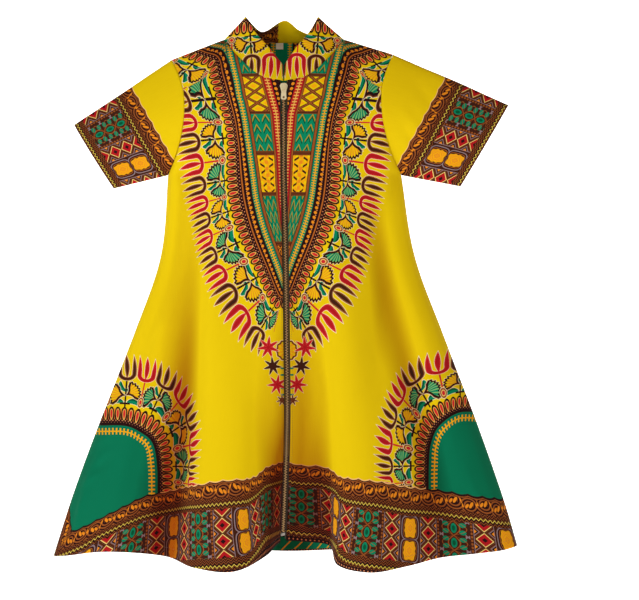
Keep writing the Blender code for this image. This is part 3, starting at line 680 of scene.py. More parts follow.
def drawBorder(art, along, down, litEdge):
    plan = borderBands
    column = along.math("PINGPONG", plan["halfPeriod"])
    # scrolled band: rings of brown lines, up and down by turns, round curled orange leaves
    pitch = plan["scrollPitch"]
    edge = abs((along * (math.pi / pitch)).math("SINE")) * -2.6 + down
    art.lay((edge > -2.8) & (down < plan["greenFoot"][1] + 40), "dark")
    art.over(edge.within(-2.8, -1) & litEdge, "pink")
    art.over(edge.within(0.6, 2.1), "line")
    ring = along.repeat(pitch)
    lift = down - 10.5 - (along * (1 / pitch)).math("ROUND").math("FLOORED_MODULO", 2) * 5
    away = (ring * ring + lift * lift).math("SQRT")
    spiral = (lift.math("ARCTAN2", ring) * (2.4 / math.pi) + away).repeat(4.8)
    lean = ring + lift * 0.5
    curl = oval(lean - 2, lift + 0.6, 2.4, 5)
    hook = oval(lean + 3.2, lift - 1.4, 2.2, 3.6)
    leaf = oval((along + pitch / 2).repeat(pitch) - lift * 0.35, lift, 1.6, 4.4)
    art.inside(
        down.within(3.2, plan["scroll"]), ((abs(spiral) < 1.15) & (away > 5.4), "line"),
        ((curl < 1) | (hook < 1) | (leaf < 1), "orange"),
    )
    # stripes of fine zigzags above and below the panel, a yellow one among them
    zigzag = along.math("PINGPONG", 3.4) * 1.25 - 2.1 + down
    stripes = down.within(plan["scroll"], plan["panel"][0]) | down.within(plan["panel"][1], plan["foot"][1])
    art.over(stripes & (abs(zigzag.repeat(4.2)) < 0.72), "line")
    for middle in plan["zigzags"]:
        art.below(abs(zigzag - middle), (2.4, "dark"), (0.8, "lemon"))
    # the panel's columns: the green chain in its crossing stems
    panel = down.within(*plan["panel"])
    art.over(panel, "darkBrown")
    rise = down - plan["panel"][0]
    half, pitch = plan["chain"]
    waist = abs((rise * (math.pi / pitch)).math("SINE"))
    bow = abs(rise.repeat(pitch)) - abs(column - 19.4) * 0.9
    lens = oval(column, (rise - pitch / 2).repeat(pitch), 4.4, 8.4)
    art.inside(
        panel & (column < half), ((bow < 1) & (column > 16), "grey"),
        (oval(column - 12.4, (rise - pitch / 4).repeat(pitch / 2), 4.9, 3.9) < 1, "green"),
        (abs(waist * -18 + column) < 0.7, "line"), (abs(waist * -8.6 + column) < 1, "line"),
        (lens < 1, "green"), (lens < 0.3, "greenShade"),
    )
    art.over(panel & (oval(column - plan["dotted"], rise.repeat(6), 1.6, 2.1) < 1), "line")
    # red diamonds on a crossed lattice, with a framed triangle at each side
    left, right, middle, step = plan["diamonds"]
    inDiamonds = panel & column.within(left, right)
    across = abs(column - middle)
    diamond = abs(rise.repeat(step)) + across
    triangle = abs((rise + step / 2).repeat(step)) + abs(across - 15)
    art.over(inDiamonds, "brown")
    art.inside(
        inDiamonds, (diamond.within(15.6, 17), "dark"), (diamond < 14, "dark"), (diamond < 12.6, "cream"),
        (diamond < 10.8, "deepRed"), (diamond < 4, "dark"), (triangle < 9, "grey"), (triangle < 7.4, "dark"),
        (triangle < 4.6, "orange"), (across > 14.1, "grey"),
    )
    # golden cartouches, each in a brown and a grey frame
    left, middle, step = plan["cartouche"]
    across, height = abs(column - middle), abs((rise - 20).repeat(step))
    turn = height.math("ARCTAN2", across)
    shape = squared(across, height, 9.8, 14.8) + (turn * 8).math("COSINE") * 0.26
    rosette = (oval(across, height, 6.4, 9) * 7 + (turn * 6).math("COSINE")).math("SINE")
    frames = ((16.4, 20.2, "grey"), (14.8, 18.8, "dark"), (12.8, 17.4, "line"), (11.4, 16.2, "dark"))
    art.inside(
        panel & (column > left),
        *((squared(across, height, wide, high) < 1, ink) for wide, high, ink in frames),
        (shape < 1.2, "gold"), ((shape < 0.8) & (rosette > 0.3), "amber"),
    )
    # dotted edge, and the green foot that only the back's hem is cut low enough to show
    low, high = plan["foot"]
    art.over(down.within(low, high), "dark")
    art.over(oval(along.repeat(5.4), down - (low + high) / 2, 1, 1) < 1, "dots")
    low, high = plan["greenFoot"]
    chevron = (abs(down - low - 6) + along).repeat(22)
    inFoot = down.within(low, high - 4)
    art.over(inFoot, "green")
    art.over(inFoot & (abs(chevron) < 1.6), "gold")
    art.over(down > high - 4, "dark")
    art.over(oval(along.repeat(5.4), down - high + 1.8, 1, 1) < 1, "dots")


# The drop down the front: the ladder beside the zip, the rows of panels, the green band and its dotted edge.
dropPlan = {
    "ladder": 13, "ladderLine": 4, "rung": 5.2, "zipDots": 8.4,
    "bars": ((-71.4, -65.5), (-135, -130), (-204.7, -197), (-272.6, -266), (-356.4, -349)),
    "lattice": (-130, -71.4, 19.4), "dashes": (-266, -204.7, 21.6), "longChevrons": (-349, -272.6, 20),
    "chevrons": 17, "spirals": -356.4, "panelWide": 32, "band": -11.8,
    "dotted": 8.6,                   # the dark band of dots ends here, and the thin line beyond it starts
    "comb": -5.8, "combPitch": 4.8, "bigDots": 8.7,
    "stars": (
        (31, -526, 19, "red", 0.4), (24, -557, 16, "darkBrown", 1.1),
        (17, -588, 17, "red", 0.2), (9, -614, 10, "brown", 0.8),
    ),
    "tipFlower": (-531, 18.5),       # height and radius
    "thorns": (-614, -556, 11),
}


def comb(run, across, pitch, spine, teeth):
    # a spine with short teeth on both sides
    side = abs(across)
    return (side < spine) | ((side < teeth) & (abs(run.repeat(pitch)) < pitch * 0.2))


def drawDrop(art, count, out, run, fromLadder, share, height, across):
    plan = dropPlan
    dotted = plan["dotted"]
    art.lay(out < dotted, "green")
    # panels between the ladder and the green band
    column = abs((share - 0.25).repeat(0.5)) * 4
    fine = (column * 15 + height).repeat(plan["chevrons"])
    art.inside(column < 0.72, (fine.within(-6, 0), "greenShade"), (abs(fine) < 1.7, "olive"))
    low, high, step = plan["longChevrons"]
    inLong = height.within(low, high)
    long = (column * 17 + height).repeat(step)
    art.over(inLong, "green")
    art.inside(inLong, (long.within(-7, 0), "greenShade"), (abs(long) < 2.1, "olive"))
    wide = (share - 0.5) * plan["panelWide"]
    low, high, step = plan["lattice"]
    inLattice = height.within(low, high)
    slant, other = wide * 0.6 + height, wide * -0.6 + height
    crossed = abs(slant.repeat(step)).math("MINIMUM", abs(other.repeat(step)))
    art.over(inLattice, "ground")
    art.inside(inLattice, (crossed > 5.6, "gold"), (crossed < 2.8, "brown"), (crossed < 0.5, "tan"))
    low, high, step = plan["dashes"]
    inDashes = height.within(low, high)
    offset = abs(wide) - 9
    zig = abs(abs(height.repeat(step)) - step / 4 + offset * 0.55)
    swirl = (wide * 0.55).math("SINE") * (height * 0.42).math("SINE")
    art.over(inDashes, "gold")
    art.inside(
        inDashes, (swirl > 0.3, "ground"), ((abs(wide) < 3.4) & (abs(height.repeat(step / 2)) < 3), "orange"),
        ((zig < 1.9) & (abs(offset) < 4.4), "darkBrown"),
    )
    inSpirals = height < plan["spirals"]
    cellX, cellZ = (wide - 4).repeat(16), height.repeat(16)
    curl = ((cellX * cellX + cellZ * cellZ).math("SQRT") * 1.1 + cellZ.math("ARCTAN2", cellX)).math("SINE")
    art.over(inSpirals, "darkBrown")
    art.over(inSpirals & (curl > 0.1), "orange")
    for low, high in plan["bars"]:
        art.over(height.within(low, high), "brown")
        art.over(abs(height - (low + high) / 2) < 0.6, "darkBrown")
    # the line round the panels, then the green band with its gold comb
    band = plan["band"]
    art.over(out > band - 6, "dark")
    art.over(out.within(band - 5, band - 1.2), "line")
    art.over(out > band, "green")
    art.over((out > band) & comb(run, out - plan["comb"], plan["combPitch"], 0.75, 3.6), "gold")
    # the dark band of big orange dots, and the thin line beyond it
    pitch = plan["bigDots"]
    art.over(out.within(-1, dotted), "dark")
    art.over(oval((run + pitch / 2).repeat(pitch), out - 5.6, 1, 0.8) < 1, "dots")
    art.over(oval(run.repeat(pitch), out - 4.4, 2.7, 2.1) < 1, "orange")
    art.lay(out.within(dotted, dotted + 3.2), "dark")
    art.over(out.within(dotted + 0.7, dotted + 2.5), "tan")
    # the ladder beside the zip, and the strip of dots between them
    art.over(fromLadder < plan["ladderLine"], "dark")
    art.over(fromLadder.within(0.6, 3.4), "line")
    art.over(fromLadder < 0, "deepRed")
    inner = -plan["ladder"]
    art.over((fromLadder < 0) & comb(height, fromLadder - inner / 2, plan["rung"], 0.75, 4.1), "straw")
    art.over(fromLadder < inner, "dark")
    art.over(oval(fromLadder - inner + 4.6, height.repeat(plan["zipDots"]), 2.7, 2.7) < 1, "orange")
    # below the tip: thorns beside the zip, a round flower, and star leaves in a chain
    side = abs(across)
    low, high, step = plan["thorns"]
    art.lay(height.within(low, high) & (oval(side - 8, height.repeat(step), 3.4, 1.7) < 1), "green")
    flowerZ, radius = plan["tipFlower"]
    rise = height - flowerZ
    rays = (rise.math("ARCTAN2", side) * 12).math("COSINE")
    fromEdge = (side * side + rise * rise * 1.1).math("SQRT") * -1 + rays * 0.7 + radius
    art.lay(fromEdge > -0.8, "pale")
    for limit, ink in ((0, "line"), (1.6, "dark"), (3, "gold")):
        art.over(fromEdge > limit, ink)
    art.over((fromEdge > 3) & (rays > 0.4), "ground")
    for middleX, middleZ, size, ink, turned in plan["stars"]:
        gapX, gapZ = side - middleX, height - middleZ
        lobes = abs((gapZ.math("ARCTAN2", gapX) * 3.5 + turned).math("SINE"))
        star = (gapX * gapX + gapZ * gapZ).math("SQRT") + lobes * (size * 0.6) - size
        art.lay(star < 1, "pale")
        art.below(star, (0, ink), *(((size * -0.3, "deepRed"),) if ink == "red" else ()))


# The cloth itself: a plain weave with uneven yarns, felt more than seen.
weavePlan = {"yarn": 0.62, "yarnHeight": 0.5, "slub": 0.5, "tint": 0.1, "bump": 0.1}


def weaveGroup():
    # the height of the yarns and a small change of tone along them
    tree, (across, down), leave = newGroup(
        "Plain weave", ("Across", "Down"), (("Height", "Float"), ("Tone", "Float"))
    )
    turn = 2 * math.pi / weavePlan["yarn"]
    yarns = (across * turn).math("SINE") * (down * turn).math("SINE")
    where = newNode(tree, "CombineXYZ", {0: across * 0.5, 1: down * 0.035})
    uneven = noise(tree, 1, 2, where.outputs[0])
    height = yarns.timesPlus(weavePlan["yarnHeight"], uneven * weavePlan["slub"])
    feed(leave, {"Height": height, "Tone": (uneven - 0.5) * weavePlan["tint"]})
    return tree


print("print motifs and weave as node groups")
groups = {
    "rings": artworkGroup("Rings of print", ("Count", "Out", "Run"), drawRings),
    "border": artworkGroup("Hem border", ("Along", "Down", "Lit edge"), drawBorder),
    "drop": artworkGroup(
        "Front drop", ("Count", "Out", "Run", "From ladder", "Share", "Height", "Across"), drawDrop
    ),
    "weave": weaveGroup(),
}


def newMaterial(name, colour, roughness, values={}):
    material = bpy.data.materials.new(name)
    material.use_nodes = True
    shader = material.node_tree.nodes["Principled BSDF"]
    feed(shader, {"Base Color": linear(colour), "Roughness": roughness, **values})
    return material, material.node_tree, shader


def strands(tree, vector, parts=(0, 1)):
    node = newNode(tree, "SeparateXYZ", {0: vector})
    return [Strand(tree, node.outputs[part]) for part in parts]


def uvStrands(tree, name):
    return strands(tree, newNode(tree, "UVMap", uv_map=name).outputs[0])


def place(tree, group, values):
    # puts a group in a tree, its inputs fed in order
    return feed(newNode(tree, "Group", node_tree=groups[group]), dict(enumerate(values)))


def bumped(shader, height, strength, distance):
    values = {"Strength": strength, "Distance": distance, "Height": height}
    feed(shader, {"Normal": newNode(shader.id_data, "Bump", values).outputs[0]})


clothLook = {
    # how strongly the ochre painted shade is laid in the folds
    "roughness": 0.8, "paintedShadeStrength": 1,
    "cornerComb": (6.6, 1.1, 5.6),      # pitch, half its spine and half its teeth
    "folds": (0.44, 0.22, 0.16, 1),     # painted shade: what the colours are multiplied by in the depth of a fold
    "shader": {"Sheen Weight": 0.01, "Sheen Roughness": 0.4, "Specular IOR Level": 0.06},
}


def printedCotton(name, layers):
    # dyed cotton with the print over it, darkened towards ochre in the folds as painted shade
    material, tree, shader = newMaterial(name, inks["ground"], clothLook["roughness"], clothLook["shader"])
    across, down = uvStrands(tree, "cloth")
    # deep is the painted shade in the folds, run the distance along the rings
    deep, run = uvStrands(tree, "fold")
    art = Artwork(tree)

    def layGroup(group, values, tip=None):
        node = place(tree, group, values)
        mask = Strand(tree, node.outputs["Mask"])
        art.lay(mask & tip if tip else mask, node.outputs["Color"])

    if "rings" in layers:
        count, out = uvStrands(tree, "ring")
        # none of the rings' flowers or fronds at the drop's very tip
        tip = (count > 0.75) | (out < 30) | ((count > 0.5) & (out < 70)) if "drop" in layers else None
        layGroup("rings", (count, out, run), tip)
    if "corner" in layers:
        # inside the corner's arc the cloth is the print's green, darkened a little as painted shade, with a
        # gold comb
        combRun = uvStrands(tree, "inner")[0]
        art.lay(out < cornerArc[1], "dark")
        art.lay(out < cornerArc[0], "cornerGreen")
        art.lay(comb(combRun, out + 1.6, *clothLook["cornerComb"]) & out.within(-8, 5), "gold")
    if "drop" in layers:
        layGroup("drop", (count, out, run, *uvStrands(tree, "inner"), down, across))
    if "border" in layers:
        # the scrolled edge is outlined in pink on the yellow, and in black on the green
        layGroup("border", (across, down, out > cornerArc[1] if "corner" in layers else down * 0 + 1))
    weave = place(tree, "weave", (across, down))
    # painted shade by the depth of the fold, with the yarns' random tone
    depth = deep * clothLook["paintedShadeStrength"] + Strand(tree, weave.outputs["Tone"])
    feed(shader, {"Base Color": blend(tree, depth, art.ground, clothLook["folds"], "MULTIPLY")})
    bumped(shader, weave.outputs["Height"], weavePlan["bump"], 0.0003)
    return material


# The panels. Rows run from the hem up over the shoulder, and columns from the middle out to the side.
cutPlan = {
    "thickness": 0.7, "seam": 0.05, "shoulderSeam": 0.9, "zipGap": 5.6, "skirtRows": 132, "yokeRows": 64,
    "frontColumns": 104, "backColumns": 92,
    "foldBlur": 70,         # mm each way over which a fold's depth is judged, for the painted shade
    "foldDepth": 12,
    "leastPaintedShade": 0.04,      # how much painted shade even the crowns of the folds get
    "ripples": {"front": (0.35, 61, 83), "back": (0.4, 67, 91)},    # height, and the pitches across and down
    "names": {-1: "left", 1: "right"},
}
greenBandEdge = ((0, 105), (-20, 100), (-44, 94), (-74, 86.5), (-110, 80))
backPrintShift = -6.5
meetsAt = ((0, -640), (70, -640), (130, -500), (420, -500))     # where the yoke's print ends, by x


def panelLevels():
    skirt = np.linspace(hemLevel, 0, cutPlan["skirtRows"])
    up = np.linspace(0, 1, cutPlan["yokeRows"])[1:]
    return np.concatenate([skirt, -(1 - (1 - up) ** 1.6)])


def paintedFoldShade(grid, facing):
    # painted shade: 0 on the crowns of the folds, up to 1 where the cloth lies well behind what is beside it
    proud = facing * grid[..., 1]
    reach = np.cumsum(np.linalg.norm(np.diff(grid, axis=1, prepend=grid[:, :1]), axis=2), axis=1)
    tint = np.zeros(proud.shape)
    for r in range(len(grid)):
        # as far to both sides, so that a panel that only bends back at its side seam is no fold
        fromSeam = reach[r, -1] - reach[r]
        if facing > 0:
            fromSeam = np.minimum(fromSeam, reach[r])
        blur = np.clip(fromSeam, 8, cutPlan["foldBlur"])
        weight = np.exp(-(((reach[r][:, None] - reach[r][None, :]) / blur[:, None]) ** 2))
        tint[r] = (weight @ proud[r]) / weight.sum(axis=1) - proud[r]
    return np.clip(tint / cutPlan["foldDepth"] + cutPlan["leastPaintedShade"], 0, 1)


def printLayers(panel, across, shares, grid, facing):
    # for each point: its place on the flat cloth, in the rings, beside the ladder, and its painted shade in a
    # fold
    x, z = grid[..., 0], grid[..., 2]
    isBack = facing > 0
    printX = np.abs(x - backPrintShift) if isBack else np.abs(x)
    drop = ringPlace("dropBack" if isBack else "drop", printX, z)
    if isBack:
        # the back's drop is plain green inside
        drop[..., 1] = np.maximum(drop[..., 1], dropPlan["band"] + 0.1)
    else:
        # the green band runs straight on up to the shoulder, past the corner that the outer rings turn
        bandEdge = between(greenBandEdge, z)
        end, edgeX = greenBandEdge[-1]
        straight = (z > end) & (printX < bandEdge)
        drop[..., 1] = np.where(straight, printX - bandEdge, drop[..., 1])
        joint, below = ringPlace("drop", edgeX - np.array([[6, 6.6]]), end - np.array([[0, 2.0]]))[0, :, 2]
        drop[..., 2] = np.where(straight, joint + (z - end) * np.sign(joint - below), drop[..., 2])
    # the back has no ladder and no panels
    edge, inner = between(ladderEdge, z), between(bandInner, z)
    fromLadder = np.abs(x) - edge + (100 if isBack else 0)
    share = (np.abs(x) - edge - 4) / np.maximum(inner - edge - 4, 1) * (0 if isBack else 1)
    corner = [ringPlace(name, np.abs(x), z) for name in ("cornerLeft", "cornerRight")]
    corner = np.where((x < 0)[..., None], corner[0], corner[1])
    beside = between(borderPlan["columns"][panel], shares)
    border = borderDown(panel, x if isBack else np.abs(x), z)
    if isBack:
        border += borderPlan["backDrop"]
    else:
        # the dotted edge keeps to the hem where the front is cut low
        zigzag, foot = borderPlan["secondZigzag"], borderBands["foot"][1]
        squeeze = (foot - zigzag) / np.maximum(border[:1] - zigzag, foot - zigzag)
        border = np.where(border > zigzag, zigzag + (border - zigzag) * squeeze, border)
    if panel == "frontLeft":
        # the band turns up the selvage beside the side seam
        fromSeam = across.min(axis=1, keepdims=True) * -1 - np.abs(across)
        selvage = between(borderPlan["selvage"], z) - fromSeam
        turned = (selvage > border + 2) & (selvage > -4)
        beside = np.where(turned, z, beside)
        border = np.where(turned, selvage, border)
    # painted shade, deeper where the cloth lies back in a fold
    tint = paintedFoldShade(grid, facing)
    tip = printEdges["drop"][1][2] - printEdges["dropBack"][1][2] if isBack else 0
    middle = backPrintShift if isBack else 0
    yokePrint = {"cloth": pair(across - middle, z + tip), "ring": drop[..., :2],
                 "inner": pair(fromLadder, share), "fold": pair(tint, drop[..., 2])}
    hemPrint = {"cloth": pair(beside, border), "ring": corner[..., :2],
                "inner": pair(corner[..., 3], share), "fold": pair(tint, corner[..., 2])}
    return yokePrint, hemPrint


def frontPanel(side):
    panel = {-1: "frontLeft", 1: "frontRight"}[side]
    spacing = np.linspace(0, 1, cutPlan["frontColumns"])
    rows, across, spread = [], [], []
    for level in panelLevels():
        length = lengths(halfRing(max(level, 0), side, -1))[-1]
        first, last = cutPlan["zipGap"] / length, 1 - cutPlan["seam"] / 2 / length
        shares = first + (last - first) * spacing
        rows.append(clothRow(side, -1, level, shares))
        across.append(side * shares * length)
        spread.append(shares)
    rows[-1][:, 1] -= cutPlan["shoulderSeam"] / 2
    grid = crease(ripple(np.array(rows), *cutPlan["ripples"]["front"]), creases[panel], side)
    layers = printLayers(panel, np.array(across), np.array(spread), grid, -1)
    return clothPiece("front_" + cutPlan["names"][side], grid, layers, ("yoke", "hem"), cutPlan["thickness"])


def backPanel():
    rows, across, spread = [], [], []
    half = np.linspace(0, 1, cutPlan["backColumns"])
    for level in panelLevels():
        row, run = [], []
        for side in (-1, 1):
            length = lengths(halfRing(max(level, 0), side, 1))[-1]
            shares = half * (1 - cutPlan["seam"] / 2 / length)
            points, distances = clothRow(side, 1, level, shares), side * shares * length
            row.append(points[::-1] if side < 0 else points[1:])
            run.append(distances[::-1] if side < 0 else distances[1:])
        rows.append(np.concatenate(row))
        across.append(np.concatenate(run))
        spread.append(np.concatenate([-half[::-1], half[1:]]))
    rows[-1][:, 1] += cutPlan["shoulderSeam"] / 2
    grid = crease(ripple(np.array(rows)[:, ::-1], *cutPlan["ripples"]["back"]), creases["back"])
    layers = printLayers("back", np.array(across)[:, ::-1], np.array(spread)[:, ::-1], grid, 1)
    return clothPiece("back", grid, layers, ("yoke", "hem"), cutPlan["thickness"])


# The sleeves: short and flared, with the hem's border run across the cuff.
sleevePlan = {
    "cuffTop": {-1: (-362, 0, -146), 1: (385, 0, -112)},
    "cuffBottom": {-1: (-294, 0, -255), 1: (302.5, 0, -251.5)},
    "cuffDepth": 17, "cuffRound": 0.6, "armSeam": 0.3, "underarmSeam": 1.4, "around": 64, "rings": 56,
    "borderScale": 1.2,
    "columnScale": {-1: 1.16, 1: 0.98},
    "columnStart": {-1: 37.5, 1: 43.8},
}
sleeveCreases = {
    -1: (
        (-205, -60, -300, -215, 12, 1.6), (-190, -120, -262, -236, 10, -1.8),
        (-196, -160, -240, -216, 7, 1.6), (-230, -60, -352, -150, 16, -1.2),
    ),
    1: (
        (200, -56, 300, -205, 12, 1.6), (186, -110, 262, -226, 10, -1.8),
        (192, -150, 236, -206, 7, 1.5), (226, -52, 366, -130, 16, -1.2),
    ),
}


def sleeve(side):
    plan = sleevePlan
    up = np.linspace(0, 1, plan["around"])[:, None]
    low, high = np.array(plan["cuffBottom"][side], float), np.array(plan["cuffTop"][side], float)
    loops = []
    for facing in (-1, 1):
        start = np.concatenate([clothRow(side, facing, -k, [1]) for k in up[:, 0]])
        end = low + (high - low) * up
        end[:, 1] += facing * plan["cuffDepth"] * np.sin(np.pi * up[:, 0]).clip(0) ** plan["cuffRound"]
        away = (end - start) / np.linalg.norm(end - start, axis=1, keepdims=True)
        start += away * (plan["armSeam"] + (plan["underarmSeam"] - plan["armSeam"]) * (1 - up) ** 2)
        loops.append((start, end))
    start = np.concatenate([loops[0][0], loops[1][0][-2:0:-1]])
    end = np.concatenate([loops[0][1], loops[1][1][-2:0:-1]])
    grid = np.array([start + (end - start) * k for k in np.linspace(0, 1, plan["rings"])])
    # from the cuff in, and down from the sleeve's top edge along the cuff
    inwards = np.linalg.norm(end[None] - grid, axis=2)
    cuffLength = np.linalg.norm(high - low)
    half = np.concatenate([1 - up[:, 0], (1 - up[:, 0])[-2:0:-1]]) * cuffLength
    beside = (np.broadcast_to(half, inwards.shape) - plan["columnStart"][side]) * plan["columnScale"][side]
    foot = borderBands["foot"][0]
    border = foot - inwards * plan["borderScale"]
    creased = crease(grid, sleeveCreases[side], seamCalm=0)
    # both faces of the tube move the same way out of their own plane, so its edge stays closed
    grid += (creased - grid) * (np.sin(np.pi * np.linspace(0, 1, plan["rings"])) ** 0.5)[:, None, None]
    # the sleeves get only the least painted shade
    layers = [{"cloth": pair(beside, border), "fold": pair(inwards * 0 + cutPlan["leastPaintedShade"], inwards * 0)}]
    return clothPiece("sleeve_" + cutPlan["names"][side], grid, layers, ("sleeve",), cutPlan["thickness"])


# The standing collar, open in a V at the zip: its top edge by its share of the way round.
collarPlan = {
    "top": (
        (0, -1.7, -36, -49), (0.11, -31, -31, -12), (0.175, -46, -25, 5), (0.225, -56, -15, 20),
        (0.283, -67, 0, 40), (0.37, -42, 18, 18), (0.5, 3, 20, 37), (0.57, 24, 20, 21),
        (0.65, 48, 15, 15), (0.717, 57.5, 0, 40), (0.775, 48, -15, 20), (0.825, 39, -25, 5),
        (0.89, 25, -31, -12), (1, 0.1, -36, -49),
    ),
    "seam": 0.1, "end": 1, "steps": 200, "rings": 18, "thickness": 1,
    "behind": 4,                   # the flowers stop here, by depth
    "scrollEnds": -11.5,           # the scrolled band at the back stops here, by x
    "scrollScale": 0.9, "noFlowers": 200.0, "noScroll": -60.0,
    "junction": (57, -8),          # where the flower sits: mm from centre front, and height
    "lean": 86,                    # degrees below level that the rings run out, towards centre front
    "flowerPitch": 66,
    # how far out in the rings each height falls, measured down from the flower
    "spread": ((-48, 8), (-39, 16), (-15, 30.5), (-12, 34.4), (0, 48), (24, 74), (69, 117), (120, 165)),
}


def neckLoop():
    parts = [neckLine(-1, -1), neckLine(-1, 1)[::-1][1:], neckLine(1, 1)[1:], neckLine(1, -1)[::-1][1:]]
    return np.concatenate(parts)


def collar():
    plan = collarPlan
    shares = np.linspace(0, 1, plan["steps"])
    loop = neckLoop()
    reach = lengths(loop)[-1]
    start = along(loop, plan["end"] + (reach - 2 * plan["end"]) * shares)
    rows = np.array(plan["top"], float)
    top = smooth(rows[:, 0], rows[:, 1:], shares)
    rise = (top - start) / np.linalg.norm(top - start, axis=1, keepdims=True)
    start += rise * plan["seam"]
    grid = np.array([start + (top - start) * k for k in np.linspace(0, 1, plan["rings"])])
    fromFront = np.broadcast_to(np.minimum(shares, 1 - shares) * reach, grid.shape[:2])
    farX, farZ = plan["junction"]
    lean = math.radians(plan["lean"])
    acrossX, downZ = np.abs(grid[..., 0]) - farX, farZ - grid[..., 2]
    outwards = downZ * math.sin(lean) - acrossX * math.cos(lean)
    count = (-acrossX * math.sin(lean) - downZ * math.cos(lean)) / plan["flowerPitch"]
    behind = grid[..., 1] > plan["behind"]
    # flowers at the front and the scrolled band at the back's left, each out of reach elsewhere
    out = np.where(behind, plan["noFlowers"], np.interp(outwards, *zip(*plan["spread"])))
    leftBack = behind & (grid[..., 0] < plan["scrollEnds"])
    heights = np.linalg.norm(grid - start[None], axis=2)
    border = np.where(leftBack, heights * plan["scrollScale"], plan["noScroll"])
    # the collar gets only the least painted shade
    fold = pair(np.full(out.shape, cutPlan["leastPaintedShade"]), acrossX * math.sin(lean))
    layers = [{"cloth": pair(fromFront, border), "ring": pair(count, out), "fold": fold}]
    return clothPiece("collar", grid, layers, ("collar",), plan["thickness"])


# Sewing: short twisted stitches laid along a seam, on the outside of the cloth.
stitchPlan = {
    "length": 2.7, "gap": 1.1, "wide": 0.5, "high": 0.35, "proud": 0.62,
    "hemRow": 4, "zipColumn": 1,     # the row and column of the cloth's grid that are sewn along
}


def stitchRow(points, normals, verts, faces):
    # long diamonds of six points along a line, one for each stitch
    plan = stitchPlan
    reach, turns = lengths(points), lengths(normals)
    for start in np.arange(0, reach[-1] - plan["length"], plan["length"] + plan["gap"]):
        a, b = along(points, np.array([start, start + plan["length"]]))
        normal = along(normals, np.array([np.interp(start, reach, turns)]))[0]
        normal /= max(np.linalg.norm(normal), 1e-6)
        sideways = np.cross(b - a, normal)
        sideways *= plan["wide"] / 2 / max(np.linalg.norm(sideways), 1e-6)
        lift, high = normal * plan["proud"], normal * plan["high"]
        middle = (a + b) / 2 + lift
        base = len(verts)
        verts += [a + lift * 0.6, b + lift * 0.6]
        verts += [middle + sideways, middle + high, middle - sideways, middle - high]
        for k in range(4):
            one, two = base + 2 + k, base + 2 + (k + 1) % 4
            faces += [(base, one, two), (base + 1, two, one)]


def meshPiece(name, verts, faces, material):
    # a small part of the garment with its faces turned outwards
    obj = newPiece(name, verts, faces, (material,))
    tool = bmesh.new()
    tool.from_mesh(obj.data)
    bmesh.ops.recalc_face_normals(tool, faces=tool.faces)
    tool.to_mesh(obj.data)
    tool.free()
    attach(obj, "garment")
    return obj


def outward(grid, facing):
    normals = gridNormals(grid)
    return normals * np.sign(facing * normals[..., 1:2] + 1e-9)


# The zip: cast teeth along both tapes, up to the slider.
zipPlan = {
    "pitch": 4.4, "toothWide": 2.5, "toothLong": 1.7, "toothDeep": 2.3, "overlap": 0.55,
    "edge": (3.1, 0.35, 1.15),       # the tapes' woven edges: half width, and where they lie behind the teeth
}


def bar(loops, verts, faces):
    # a closed bar through loops of four points
    low = len(verts)
    verts += [point for loop in loops for point in loop]
    faces.append((low + 3, low + 2, low + 1, low))
    for low in range(low, len(verts) - 4, 4):
        faces += [(low + k, low + (k + 1) % 4, low + 4 + (k + 1) % 4, low + 4 + k) for k in range(4)]
    faces.append(tuple(range(len(verts) - 4, len(verts))))


def zipChain():
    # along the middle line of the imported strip: the woven edges that meet under the teeth, and the teeth
    plan = zipPlan
    points = np.array([v.co[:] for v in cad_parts["zip_chain"].data.vertices]) / mm
    points = points[np.argsort(points[:, 2])]
    rows = np.split(points, np.nonzero(np.diff(points[:, 2]) > 2)[0] + 1)
    line = np.array([row.mean(axis=0) for row in rows])
    path = smooth(line[:, 2], line, np.linspace(line[0, 2], line[-1, 2], 400))
    half, near, far = plan["edge"]
    section = np.array([(-half, near, 0), (half, near, 0), (half, far, 0), (-half, far, 0)])
    verts, faces = [], []
    bar([point + section for point in path], verts, faces)
    meshPiece("zip_tape_edges", verts, faces, finish["tape"])

    reach = lengths(path)[-1]
    long, deep = plan["toothLong"], plan["toothDeep"]
    verts, faces = [], []
    for n, start in enumerate(np.arange(long, reach - long, plan["pitch"] / 2)):
        side = -1 if n % 2 else 1
        below, centre, above = along(path, np.array([max(start - 1, 0), start, min(start + 1, reach)]))
        tangent = (above - below) / np.linalg.norm(above - below)
        depth = np.cross(tangent, (1, 0, 0))
        depth /= np.linalg.norm(depth)
        outer = plan["toothWide"] * side
        bar([
            [centre + (x, 0, 0) + (tangent * long * z + depth * deep * y) / 2 * half
             for z, y in ((-1, -1), (1, -1), (1, 1), (-1, 1))]
            for x, half in ((-plan["overlap"] * side, 0.8), (outer * 0.45, 1), (outer, 0.72))
        ], verts, faces)
    teeth = meshPiece("zip_teeth", verts, faces, finish["chain"])
    teeth.modifiers.new("Edges", "BEVEL").width = 0.18 * mm
    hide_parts("zip_chain")


# Metals and trimmings.
metalPlan = {
    "chain": ((190, 154, 104), 0.42, 0.6), "slider": ((240, 228, 196), 0.36, 0.6),
    "stop": ((140, 136, 130), 0.4, 1.0),
}


def shade(colour, times, added=0):
    return tuple(min(c * times + added, 1) for c in linear(colour)[:3]) + (1,)


def metal(name):
    # worn a little brighter in some patches and duller in others
    colour, roughness, metallic = metalPlan[name]
    material, tree, shader = newMaterial("zip_" + name, colour, roughness, {"Metallic": metallic})
    uneven = noise(tree, 900, 3)
    worn = blend(tree, uneven, shade(colour, 0.6), shade(colour, 1.25))
    feed(shader, {"Base Color": worn, "Roughness": uneven * 0.3 + (roughness - 0.12)})
    bumped(shader, uneven, 0.15, 0.0002)
    return material


